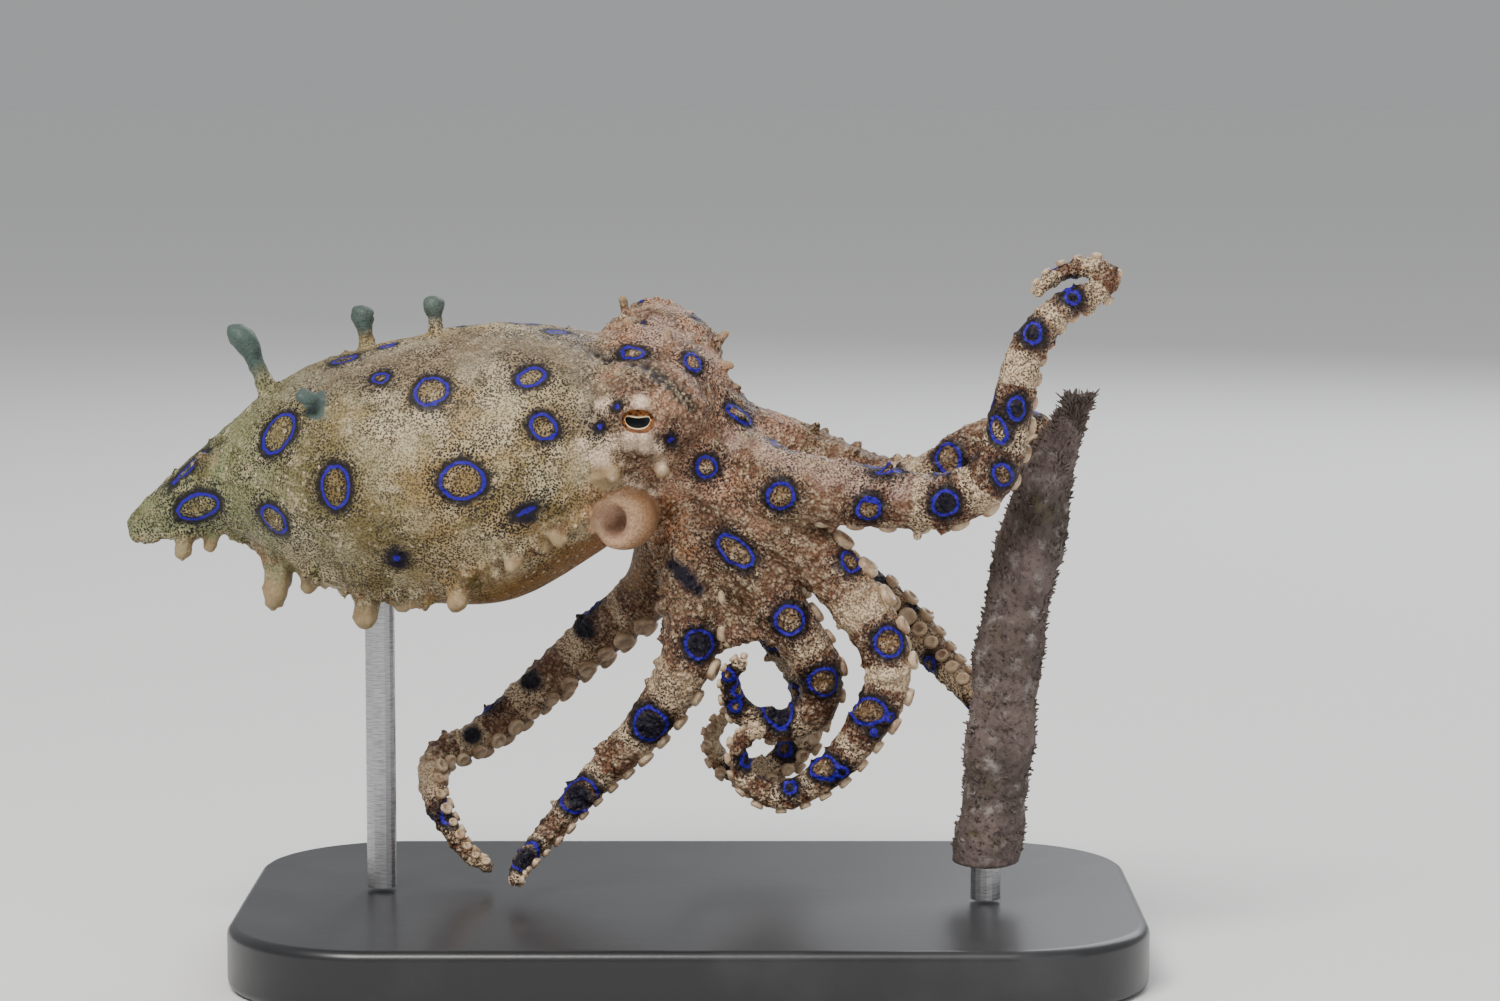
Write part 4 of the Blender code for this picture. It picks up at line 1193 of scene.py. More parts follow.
        # Clubs in their grey-green, darker as painted shade.
        colour = n.mix((n.painted("club") * 1.7).smallest(0.92), colour, self.club)
        burst = ring + (fine - 0.5) * 0.9 + (middle - 0.5) * 0.7
        halo = (1.0 - burst.step(0.3, 0.85)) * ring.step(-0.4, -0.1)
        spray = dust.largest(stipple) * (1.0 - burst.step(0.7, 1.7)) * ring.step(-1.0, -0.3)
        colour = n.mix((halo * 0.95).largest(spray * 0.85), colour, self.halo)
        colour = n.mix((n.painted("dark") * 1.25 - 0.1 * fine).smallest(1.0), colour, self.dark)
        line = 1.0 - ragged.size().step(self.line_width * 0.8, self.line_width * 1.2)
        colour = n.mix(line, colour, self.blue)
        height = grains * 0.8 + pebbles + fine * 0.4 * rough + stipple * -0.15
        return n.done(Base_Color=colour, Roughness=0.42 + 0.25 * fine, Subsurface_Weight=0.08,
                      Subsurface_Scale=0.001, Subsurface_Radius=(1.0, 0.5, 0.3),
                      Specular_IOR_Level=0.25, Coat_Weight=0.06, Coat_Roughness=0.3,
                      Normal=n.relief(height, 0.22, 0.85))


@dataclass(frozen=True)
class SuckerFinish:
    """Pale, slightly glossy sucker skin, clouded darker, with fine dark specks."""

    pale: Colour = Colour(198, 174, 144)
    shade: Colour = Colour(146, 118, 92)
    speck: Colour = Colour(70, 44, 30)

    def make(self) -> bpy.types.Material:
        """The finish."""
        n = Nodes("pale sucker skin")
        cloud, fine = n.cloud(900, 3), n.cloud(4200, 2)
        colour = n.mix(cloud.step(0.4, 0.7), self.pale, self.shade)
        colour = n.mix((1.0 - n.cells(5600).step(0.12, 0.3)) * 0.5, colour, self.speck)
        return n.done(Base_Color=colour, Roughness=0.3 + 0.2 * fine, Subsurface_Weight=0.3,
                      Subsurface_Scale=0.001, Subsurface_Radius=(1.0, 0.6, 0.4),
                      Coat_Weight=0.2, Coat_Roughness=0.2, Normal=n.relief(fine, 0.04, 0.6))


@dataclass(frozen=True)
class EyeFinish:
    """A wet eye: dark crescent pupil, thin cream rim and a speckled orange-brown iris."""

    pupil: Colour = Colour(1, 2, 6)
    rim: Colour = Colour(232, 206, 164)
    iris: Colour = Colour(158, 100, 52)
    iris_dark: Colour = Colour(66, 38, 24)
    lower: Colour = Colour(120, 78, 54)
    half_width: float = 0.96
    half_height: float = 0.36
    bend: float = 0.2

    def make(self) -> bpy.types.Material:
        """The finish."""
        n = Nodes("wet eye")
        u, v = n.painted("along"), n.painted("across")
        reach = (u / self.half_width).size()
        span = reach.smallest(1.0)
        ends = (1.0 - span * span * span * span).math("SQRT")
        middle = self.bend * span * span - self.bend * 0.8
        inside = self.half_height * ends - (v - middle).size() - (reach - span)
        fine = n.cloud(3600, 3)
        iris = n.mix(fine.step(0.42, 0.6), self.iris, self.iris_dark)
        iris = n.mix((1.0 - v.step(-0.8, -0.3)) * 0.6, iris, self.lower)
        colour = n.mix(inside.step(-0.15, -0.1), iris, self.rim)
        colour = n.mix(inside.step(-0.05, -0.01), colour, self.pupil)
        return n.done(Base_Color=colour, Roughness=0.3, Coat_Weight=0.12, Coat_Roughness=0.05,
                      Specular_IOR_Level=0.15, Normal=n.relief(fine, 0.02, 0.3))


@dataclass(frozen=True)
class CrustFinish:
    """The stem's crust: grey, pink and brown growths with a felted surface."""

    bark: Colour = Colour(84, 72, 66)
    pink: Colour = Colour(112, 96, 92)
    grey: Colour = Colour(140, 132, 126)
    dark: Colour = Colour(52, 42, 38)
    green: Colour = Colour(92, 84, 60)

    def make(self) -> bpy.types.Material:
        """The finish."""
        n = Nodes("stem crust")
        large, middle, fine = n.cloud(180, 4), n.cloud(650, 5, 0.65), n.cloud(3000, 4, 0.7)
        colour = n.mix(large.step(0.4, 0.62), self.bark, self.pink)
        colour = n.mix(middle.step(0.52, 0.7), colour, self.grey)
        colour = n.mix(n.cloud(420, 4, 0.6, 0.4).step(0.56, 0.68) * 0.7, colour, self.green)
        colour = n.mix(fine.step(0.52, 0.7) * 0.75, colour, self.dark)
        height = middle * 0.6 + fine * 0.6 + n.cells(1500) * 0.5
        return n.done(Base_Color=colour, Roughness=0.75 + 0.2 * fine,
                      Normal=n.relief(height, 0.35, 0.9))


@dataclass(frozen=True)
class BoardFinish:
    """The base's dark satin paint, with a faint orange-peel relief and dust."""

    paint: Colour = Colour(26, 27, 30)
    dust: Colour = Colour(72, 72, 74)

    def make(self) -> bpy.types.Material:
        """The finish."""
        n = Nodes("dark satin paint")
        peel, dust = n.cloud(900, 2), n.cloud(60, 5, 0.6)
        colour = n.mix(dust.step(0.45, 0.75) * 0.35, self.paint, self.dust)
        return n.done(Base_Color=colour, Roughness=0.3 + 0.18 * dust, Coat_Weight=0.2,
                      Coat_Roughness=0.15, Normal=n.relief(peel, 0.03, 0.35))


@dataclass(frozen=True)
class SteelFinish:
    """Brushed steel, its scratches running round the rod."""

    steel: Colour = Colour(188, 188, 190)
    scratch: Colour = Colour(140, 140, 144)

    def make(self) -> bpy.types.Material:
        """The finish."""
        n = Nodes("brushed steel")
        lines = n.cloud(900, 3, 0.6, 0.0, n.place((1, 1, 14)))
        return n.done(Base_Color=n.mix(lines.step(0.4, 0.7), self.steel, self.scratch),
                      Metallic=1.0, Roughness=0.26 + 0.2 * lines,
                      Normal=n.relief(lines, 0.02, 0.4))


@dataclass(frozen=True)
class Spot:
    """A ring on the skin: its middle, the surface's frame there and its shape."""

    centre: Array
    frame: Array
    shape: Array
    LARGEST_DOT: ClassVar[float] = 0.14
    ROOM: ClassVar[float] = 1.12
    BEYOND: ClassVar[float] = 3.0
    FACING: ClassVar[float] = 0.05

    @property
    def radius(self) -> float:
        """The radius of a round ring of the same area."""
        return 1 / math.sqrt(abs(np.linalg.det(self.shape)))

    def clear_of(self, others: Sequence["Spot"]) -> bool:
        """Whether it overlaps none of some other rings."""
        return all(np.linalg.norm(self.centre - other.centre)
                   > self.ROOM * (self.radius + other.radius)
                   or self.frame[2] @ other.frame[2] < 0 for other in others)

    def distance(self, points: Array, out: Array) -> Array:
        """How far each point is outside the ring's line.

        Args:
            points: the skin's points.
            out: the directions out of the skin.

        Returns:
            Millimetres, below 0 inside the ring. A dot's count twice, to keep it crisp.
        """
        off = points - self.centre
        longest = 1 / np.linalg.svd(self.shape, compute_uv=False).min()
        near = ((norms(off) < self.BEYOND + longest) & (out @ self.frame[2] > self.FACING))
        mapped = off[near] @ self.frame[:2].T @ self.shape.T
        round_it = norms(mapped)
        slope = np.maximum(norms(mapped @ self.shape), 1e-9)
        found = np.full(len(points), self.BEYOND)
        found[near] = (round_it - 1) * round_it / slope * (2 if longest < self.LARGEST_DOT else 1)
        return np.clip(found, -self.BEYOND, self.BEYOND)


class Surface:
    """A skin as something to lay rings on."""

    AROUND = 10
    SPREAD = 0.4
    SAME_SKIN = 2.5
    STEEPEST = 1.7

    def __init__(self, skin: Obj) -> None:
        """Takes the skin as it is now."""
        self.tree = BVHTree.FromObject(skin, bpy.context.evaluated_depsgraph_get())

    def met(self, start: Array, way: Array) -> Array | None:
        """Where a line from a point first meets the skin."""
        place = self.tree.ray_cast(Vector(start * MM), Vector(way))[0]
        return None if place is None else np.array(place) / MM

    @staticmethod
    def frame_at(normal: Array) -> Array:
        """Two directions along the surface and the one out of it, as rows."""
        side = unit(np.cross(normal, FRONT if abs(normal[0]) < 0.9 else UP))
        return np.stack([side, np.cross(normal, side), normal])

    def shape(self, ring: Ring, axes: Array, depth: float) -> Array:
        """How the skin is drawn out for a ring to look as it does in the picture.

        Args:
            ring: the ring in the picture.
            axes: the surface's frame at its middle.
            depth: how far that is from the camera, in millimetres.

        Returns:
            The matrix that turns the ring on the skin into a circle of radius 1.
        """
        right, up, _ = EYEPOINT.axes
        to_picture = np.stack([axes[:2] @ right, axes[:2] @ up]) * (EYEPOINT.focal / depth)
        turn = math.radians(ring.turn)
        spin = np.array([[math.cos(turn), math.sin(turn)], [-math.sin(turn), math.cos(turn)]])
        drawn = np.diag([2 / ring.wide, 2 / ring.high]) @ spin @ to_picture
        left, sizes, rows = np.linalg.svd(drawn)
        aspect = max(ring.wide, ring.high) / min(ring.wide, ring.high)
        sizes[1] = max(sizes[1], sizes[0] / (self.STEEPEST * aspect))
        return left @ np.diag(sizes) @ rows

    def seen(self, rings: Sequence[Ring]) -> list[Spot]:
        """The spots that show as given rings in the picture.

        Args:
            rings: the rings in the picture.

        Returns:
            A spot for each whose middle is on the skin.
        """
        found = []
        start = Vector(EYEPOINT.place * MM)
        for ring in rings:
            ray = Vector(EYEPOINT.ray(ring.x, ring.y))
            place, normal, _, depth = self.tree.ray_cast(start, ray)
            if place is None:
                continue
            total = np.array(normal)
            for turn in np.linspace(0, 2 * math.pi, self.AROUND, endpoint=False):
                x = ring.x + ring.wide * self.SPREAD * math.cos(turn)
                y = ring.y + ring.high * self.SPREAD * math.sin(turn)
                there, way, _, _ = self.tree.ray_cast(start, Vector(EYEPOINT.ray(x, y)))
                if there is not None and (there - place).length < self.SAME_SKIN * MM:
                    total += np.array(way)
            axes = self.frame_at(unit(total))
            found.append(Spot(np.array(place) / MM, axes, self.shape(ring, axes, depth / MM)))
        return found

    def round_spot(self, near: Array, radius: float) -> Spot:
        """A round ring at the skin's point nearest to a place."""
        place, normal, _, _ = self.tree.find_nearest(Vector(near * MM))
        return Spot(np.array(place) / MM, self.frame_at(unit(np.array(normal))),
                    np.eye(2) / radius)


class Canvas(Surface):
    """A skin with its points, to store numbers on for its finish."""

    SOFT_EDGE = (-0.9, 0.1)

    def __init__(self, skin: Obj) -> None:
        """Takes the skin as it is now."""
        super().__init__(skin)
        self.skin = skin
        self.points, self.out = Bench.points(skin), Bench.normals(skin)

    def store(self, **fields: Array) -> None:
        """Stores a number for each point under each name."""
        for name, values in fields.items():
            Bench.attribute(self.skin, name, values)

    def patches(self, places: Places) -> Array:
        """How much each point is in a soft round patch, from 0 to 1.

        Args:
            places: each patch's place and radius in the picture.
        """
        weight = np.zeros(len(self.points))
        for spot in self.seen([Ring(x, y, size * 2, size * 2) for x, y, size in places]):
            inside = 1 - smoothstep(*self.SOFT_EDGE, spot.distance(self.points, self.out))
            weight = np.maximum(weight, inside)
        return weight


@dataclass(frozen=True)
class Markings:
    """Where the rings, dark spots and bands are. Picture places are in its pixels."""

    mantle: tuple[Ring, ...] = (
        Ring(462, 481, 43, 37), Ring(431, 391, 33, 27, 10), Ring(531, 377, 28, 18, 25),
        Ring(543, 427, 28, 23, -40), Ring(335, 487, 27, 43), Ring(278, 433, 26, 44, -30),
        Ring(198, 507, 42, 23, 15), Ring(274, 520, 20, 32, 38), Ring(397, 558, 4, 4),
        Ring(526, 511, 17, 3, 25), Ring(380, 378, 16, 10, 10), Ring(345, 359, 24, 6, 15),
        Ring(189, 468, 42, 7, 46), Ring(556, 332, 18, 3))
    head: tuple[Ring, ...] = (
        Ring(632, 352, 23, 12), Ring(693, 362, 15, 19, 30), Ring(643, 322, 2, 2),
        Ring(697, 318, 3, 3), Ring(600, 427, 4, 4), Ring(617, 406, 3, 3),
        Ring(671, 439, 5, 5), Ring(740, 414, 29, 12, -25),
        Ring(706, 467, 20, 20), Ring(780, 497, 27, 25), Ring(735, 551, 41, 21, -40),
        Ring(851, 561, 14, 21, 30), Ring(815, 601, 14, 2, -35))
    arms: tuple[tuple[str, tuple[Ring, ...]], ...] = (
        ("arm_right_1", (Ring(869, 509, 22, 22), Ring(890, 467, 22, 5, 10),
                         Ring(944, 505, 24, 24), Ring(1003, 475, 18, 24, 30),
                         Ring(1018, 408, 16, 22), Ring(1032, 332, 16, 20, -20),
                         Ring(1073, 297, 14, 14))),
        ("arm_left_1", (Ring(948, 458, 22, 30), Ring(998, 430, 15, 28, 20))),
        ("arm_right_2", (Ring(889, 642, 28, 28), Ring(858, 655, 6, 24), Ring(868, 711, 34, 26),
                         Ring(890, 717, 8, 8), Ring(875, 733, 6, 6), Ring(823, 767, 28, 22),
                         Ring(842, 772, 10, 10), Ring(790, 787, 12, 12),
                         Ring(748, 760, 12, 14))),
        ("arm_right_3", (Ring(790, 620, 28, 28), Ring(825, 683, 28, 28),
                         Ring(850, 675, 10, 14), Ring(800, 688, 12, 16), Ring(779, 712, 28, 28),
                         Ring(740, 690, 14, 14), Ring(735, 706, 12, 12),
                         Ring(727, 675, 12, 12))),
        ("arm_right_4", (Ring(700, 645, 28, 28), Ring(650, 725, 32, 32), Ring(668, 737, 8, 14),
                         Ring(578, 795, 38, 30, 30), Ring(525, 858, 28, 30))),
        ("arm_left_4", (Ring(452, 812, 20, 25), Ring(485, 873, 20, 22))))
    spots: Places = (
        (583, 627, 16), (530, 680, 16), (472, 735, 15), (880, 575, 16), (915, 605, 14),
        (397, 558, 16), (748, 760, 14), (526, 513, 16), (673, 565, 12), (681, 573, 14),
        (690, 582, 14), (698, 590, 12),
        (671, 439, 9), (600, 427, 7), (676, 377, 5), (683, 386, 6), (690, 397, 5),
        (944, 508, 19), (1018, 408, 14), (1032, 332, 13),
        (1073, 297, 11), (650, 727, 20), (578, 797, 19), (525, 860, 16), (452, 812, 13),
        (485, 873, 12), (790, 787, 12), (840, 772, 14), (700, 645, 19), (779, 716, 18))
    creams: Places = (
        (600, 456, 17), (612, 443, 15), (628, 443, 15), (644, 445, 14), (658, 449, 11),
        (583, 445, 12), (640, 402, 14), (662, 466, 11), (603, 406, 12), (612, 479, 8),
        (626, 481, 8), (640, 486, 9), (650, 494, 9))
    # Places along the fold over the near eye: a groove, darkened with painted shade.
    folds: Places = (
        (590, 348, 9), (597, 356, 10), (607, 359, 10), (619, 361, 9), (632, 364, 9),
        (646, 367, 10), (656, 370, 11), (664, 376, 11), (672, 383, 11), (680, 391, 11),
        (687, 399, 11), (694, 408, 9))
    crests: Places = (
        (150, 510, 8), (163, 500, 8), (177, 491, 8), (192, 485, 8), (208, 480, 7),
        (224, 476, 7), (241, 472, 7), (606, 366, 8), (620, 369, 8), (635, 370, 8),
        (650, 372, 8), (662, 379, 8), (672, 388, 8), (681, 398, 8), (745, 436, 9),
        (762, 446, 8), (783, 448, 9), (802, 458, 8), (822, 462, 9), (842, 471, 8),
        (351, 401, 11), (370, 425, 11), (385, 463, 12), (397, 494, 12), (405, 517, 11),
        (412, 536, 11))
    blushes: Places = (
        (770, 448, 22), (800, 455, 26), (830, 468, 26), (860, 480, 22), (655, 330, 24),
        (735, 440, 16), (900, 485, 18), (930, 478, 14))
    # Patches of painted shade under the head and beneath the cheek.
    dusks: Places = (
        (712, 522, 24), (738, 508, 22), (724, 548, 22), (765, 560, 26), (742, 580, 22),
        (690, 600, 24), (715, 630, 20), (655, 480, 12), (635, 470, 8))
    # Paler patches of the mantle's own grey, and painted highlight on the mantle next to the
    # head.
    pales: Places = (
        (515, 395, 26), (545, 388, 24), (575, 400, 18), (500, 432, 26), (480, 545, 26),
        (300, 552, 24), (330, 575, 14), (450, 512, 16), (500, 470, 18), (520, 545, 14),
        (460, 552, 20), (420, 520, 20), (436, 448, 16))
    # Painted glow of light through the skin beside the siphon.
    glows: Places = (
        (600, 472, 14), (594, 492, 14), (590, 512, 12), (675, 522, 20), (668, 502, 14),
        (684, 546, 16))


MARKINGS = Markings()


@dataclass(frozen=True)
class Warts:
    """How many small warts each part of the skin has, and how large they are."""

    an_arm: int = 60
    a_ridge: int = 120
    back: int = 80
    head: int = 40
    arm_turn: float = 2.3
    arm_size: tuple[float, float] = (0.55, 0.2)
    ridge_size: float = 1.0
    back_size: float = 0.6
    head_size: float = 0.7
    back_reach: float = 112.0
    ridge_offset: float = -2.0
    ridge_spread: float = 5.0
    eye_room: float = 0.8
    sink: float = 0.35
    width: float = 0.4
    height: float = 0.75
    uneven: tuple[float, float] = (0.6, 1.25)
    tilt: float = 0.2

    def spots(self, lines: Sequence[ArmLine], core: Surface,
              rng: np.random.Generator) -> list[tuple[Array, Array, float]]:
        """Where warts stand.

        Args:
            lines: the arms.
            core: the body's surface.
            rng: where chance comes from.

        Returns:
            Each wart's foot, direction and size.
        """
        found: list[tuple[Array, Array, float]] = []
        plain, grown = self.arm_size
        for line in lines:
            for at in rng.uniform(7, line.length - 1, self.an_arm):
                middle, way, oral, radius = line.at(at)
                angle = rng.uniform(-self.arm_turn, self.arm_turn)
                out = turned_to(-oral, np.cross(way, oral), angle)
                found.append((middle + out * radius, out, plain + grown * radius))
        for side in (1, -1):
            for _ in range(self.a_ridge):
                share, off = rng.uniform(0.04, 0.97), rng.normal(0, self.ridge_spread)
                degrees = side * (float(MANTLE.ridge(share)) + self.ridge_offset + off)
                found.append((*MANTLE.spot(share, degrees), self.ridge_size))
        for _ in range(self.back):
            share = rng.uniform(0.03, 1.0)
            degrees = rng.uniform(-self.back_reach, self.back_reach)
            found.append((*MANTLE.spot(share, degrees), self.back_size))
        eyes = [HEAD.look(side) for side in Side]
        for _ in range(self.head):
            out = unit(rng.normal(0, 1, 3) + DORSAL * 0.6 + FRONT * 0.3)
            place = HEAD.skin(core, out)
            if place is not None and max(out @ eye for eye in eyes) < self.eye_room:
                found.append((place, out, self.head_size))
        return found

    def places(self, lines: Sequence[ArmLine], core: Surface) -> list[Array]:
        """A matrix for each wart."""
        rng = np.random.default_rng(SEED)
        found = []
        for base, out, size in self.spots(lines, core, rng):
            size *= rng.uniform(*self.uneven)
            way = unit(out + rng.normal(0, self.tilt, 3))
            height = self.sink + self.height * size
            found.append(placing(base - way * self.sink, way, self.width * size, height))
        return found


class Flesh:
    """The one closed form of mantle, head, siphon, crown, web, papillae and arms."""

    CORE_VOXEL = 0.3
    CORE_PASSES = 26
    VOXEL = 0.24
    PASSES = 4
    TRIANGLES = 188_000
    GROW = 0.1
    ROOT_GROW = 0.12
    ARM_FROM = 2.0
    NECK_RADII = (6.4, 6.6, 6.6)
    NECK_SHARE = 0.4
    WEB_STEPS = 16
    SINK = 0.9
    LEAN = -0.12
    PAPILLA = ((0.0, 1.6), (0.18, 1.3), (0.36, 0.98), (0.6, 0.86), (0.8, 0.84), (0.91, 0.68),
               (0.98, 0.4), (1.0, 0.12))
    WART = ((0.0, 1.2), (0.35, 1.0), (0.65, 0.8), (0.88, 0.5), (1.0, 0.12))
    CLUB = ((0.0, 1.0), (0.15, 0.78), (0.3, 0.64), (0.45, 0.6), (0.58, 0.7), (0.7, 0.92),
            (0.8, 1.0), (0.88, 0.94), (0.95, 0.72), (0.985, 0.42), (1.0, 0.14))

    def __init__(self, lines: Sequence[ArmLine]) -> None:
        """Keeps the arms' lines, and room for what the markings go by."""
        self.lines = lines
        self.papillae: list[Bump] = []
        self.clubs: list[Bump] = []

    def web(self, a: ArmLine, b: ArmLine) -> Obj:
        """The skin stretched from one arm to its neighbour."""
        Bench.deselect()
        bpy.ops.mesh.primitive_grid_add(x_subdivisions=self.WEB_STEPS,
                                        y_subdivisions=self.WEB_STEPS, size=2.0)
        obj = bpy.context.object
        raw = Bench.points(obj) * MM
        share, out = (raw[:, 0] + 1) / 2, (raw[:, 1] + 1) / 2
        reach, depth = CROWN.web_length, CROWN.web_notch
        if {a.arm.name[-1], b.arm.name[-1]} == set(CROWN.long_web_pair):
            reach, depth = CROWN.long_web_reach, CROWN.long_web_notch
        at = 1.0 + (reach - 1.0) * out * (1 - depth * np.sin(math.pi * share))
        share = share[:, None]
        Bench.move_points(obj, a.frame(at)[0] * (1 - share) + b.frame(at)[0] * share)
        Bench.modify(obj, "SOLIDIFY", thickness=CROWN.web_thickness * MM, offset=0.0)
        Bench.outwards(obj)
        return obj

    def core(self) -> Obj:
        """Mantle, head, crown, mounds, lids, arm roots and web, melted together."""
        centre, neck = np.array(HEAD.centre), self.NECK_SHARE
        parts = [MANTLE.form(), Bench.ellipsoid("head_form", centre, HEAD.radii, 64),
                 Bench.ellipsoid("neck_form", centre * neck + CROWN.middle * (1 - neck),
                                 self.NECK_RADII, 64),
                 Bench.ellipsoid("crown_form", CROWN.middle, (CROWN.radius,) * 3, 48)]
        for side in Side:
            parts.append(Bench.ellipsoid("mound_form", HEAD.mound(side), HEAD.mound_radii, 48))
            parts.append(HEAD.lid(side))
        for line in self.lines:
            parts.append(line.tube("root_form", 0.0, CROWN.root_length, self.ROOT_GROW))
        for a, b in zip(self.lines, [*self.lines[1:], self.lines[0]]):
            parts.append(self.web(a, b))
        core = Bench.join(parts, "skin")
        Bench.melt(core, self.CORE_VOXEL, self.CORE_PASSES)
        return core

    def stand(self, base: Array, way: Array, height: float, radius: float,
              lean: float = 0.0) -> Array:
        """The matrix of a papilla or club with its foot sunk into the body."""
        return placing(base - way * self.SINK, way, radius, height + self.SINK, FRONT * lean)

    def stalks(self, core: Surface) -> list[Obj]:
        """Pointed papillae of mantle and head, clubs along the back, and warts."""
        pointed, clubs = [], []
        for share, degrees, height, radius in MANTLE.spots():
            base, way = MANTLE.spot(share, degrees)
            self.papillae.append((base, way, height, radius))
            pointed.append(self.stand(base, way, height, radius, self.LEAN * height))
        for direction, height, radius in HEAD.papillae:
            way = unit(np.array(direction))
            base = HEAD.skin(core, way)
            self.papillae.append((base, way, height, radius))
            pointed.append(self.stand(base, way, height, radius))
        for share, degrees, height, radius, lean in MANTLE.clubs:
            base, way = MANTLE.spot(share, degrees)
            self.clubs.append((base, unit(way * height - FRONT * lean), height, radius))
            clubs.append(self.stand(base, way, height, radius, -lean))
        return [Bench.copies(Bench.lathe("papilla", self.PAPILLA, 20), pointed, "papillae"),
                Bench.copies(Bench.lathe("club", self.CLUB, 24), clubs, "clubs"),
                Bench.copies(Bench.lathe("wart", self.WART, 12),
                             Warts().places(self.lines, core), "warts")]

    def form(self) -> tuple[Obj, Surface]:
        """Makes the whole skin, before its markings.

        Returns:
            The skin, and the surface of the body under its papillae and warts.
        """
        body = self.core()
        core = Surface(body)
        parts = [body, *self.stalks(core), SIPHON.form()]
        for line in self.lines:
            parts.append(line.tube("arm_form", self.ARM_FROM, line.length, self.GROW))
        skin = Bench.join(parts, "skin")
        Bench.melt(skin, self.VOXEL, self.PASSES)
        ratio = self.TRIANGLES / (2 * len(skin.data.polygons))
        if ratio < 1:
            Bench.modify(skin, "DECIMATE", ratio=ratio)
        return skin, core


class Rings:
    """Lays out every ring: those in the picture, their like on the far side, and more."""

    MIRROR_FROM = 2.5
    MIRROR_SHIFTS = (-0.9, 1.2)
    STALK_ROOM = (1.6, 0.6)
    FIRST = 0.62
    PACE = (3.0, 1.2)
    TURNS = ((-80, 0, 80), (-68, 68))
    IN_SIGHT = 0.1
    SMALLEST = 0.36

    def __init__(self, flesh: Flesh, core: Surface, skin: Surface) -> None:
        """Takes the body's surface, for the far side, and the finished skin's."""
        self.flesh, self.core, self.skin = flesh, core, skin
        body = skin.seen([*MARKINGS.mantle, *MARKINGS.head])
        self.kept = list(body)
        more = self.mirrored(body)
        self.stations: list[list[float]] = []
        by_name = dict(MARKINGS.arms)
        for line in flesh.lines:
            seen = skin.seen(by_name.get(line.arm.name, ()))
            self.kept += seen
            self.stations.append(self.along(line, seen))
            more += self.unseen(line, self.stations[-1], bool(seen))
        for spot in more:
            if spot.clear_of(self.kept):
                self.kept.append(spot)

    def mirrored(self, spots: Sequence[Spot]) -> list[Spot]:
        """The far side's like of the near side's rings, clear of papillae and clubs."""
        found = []
        widths, more = self.STALK_ROOM
        for number, spot in enumerate(spots):
            across = (spot.centre - np.array(HEAD.centre)) @ RIGHT
            if across <= self.MIRROR_FROM:
                continue
            place = spot.centre - RIGHT * across * 2 + FRONT * self.MIRROR_SHIFTS[number % 2]
            size = spot.radius * (1.05 - 0.1 * (number % 3))
            made = self.core.round_spot(place, size)
            for base, _, _, radius in (*self.flesh.papillae, *self.flesh.clubs):
                gap, room = made.centre - base, size + radius * widths + more
                if np.linalg.norm(gap) < room:
                    made = self.core.round_spot(base + unit(gap) * room, size)
            found.append(made)
        return found

    def along(self, line: ArmLine, spots: Sequence[Spot]) -> list[float]:
        """Distances along an arm of its rings, seen and unseen."""
        seen = [float(line.along[norms(line.points - spot.centre).argmin()]) for spot in spots]
        marks = sorted([CROWN.web_length * self.FIRST, *seen, line.length])
        found = []
        radii, more = self.PACE
        for a, b in zip(marks, marks[1:]):
            count = max(1, round((b - a) / (radii * line.at((a + b) / 2)[3] + more)))
            found += [a + (b - a) * k / count for k in range(count)]
        return found

    def unseen(self, line: ArmLine, stations: Sequence[float], hidden_only: bool) -> list[Spot]:
        """Rings on the arm's outer side and flanks.

        Args:
            line: the arm.
            stations: distances along it.
            hidden_only: leaves out what the picture would show.

        Returns:
            The rings.
        """
        found = []
        for number, at in enumerate(stations):
            middle, way, oral, radius = line.at(at)
            side = np.cross(way, oral)
            to_camera = unit(EYEPOINT.place - middle)
            for degrees in self.TURNS[number % 2]:
                out = turned_to(-oral, side, math.radians(degrees))
                if hidden_only and out @ to_camera > self.IN_SIGHT:
                    continue
                size = max(self.SMALLEST, radius * (0.5 if degrees else 0.6))
                found.append(self.skin.round_spot(middle + out * radius, size))
        return found

    def field(self, points: Array, out: Array) -> Array:
        """How far each point is outside the nearest ring's line, in millimetres."""
        found = np.full(len(points), Spot.BEYOND)
        for spot in self.kept:
            found = np.minimum(found, spot.distance(points, out))
        return found


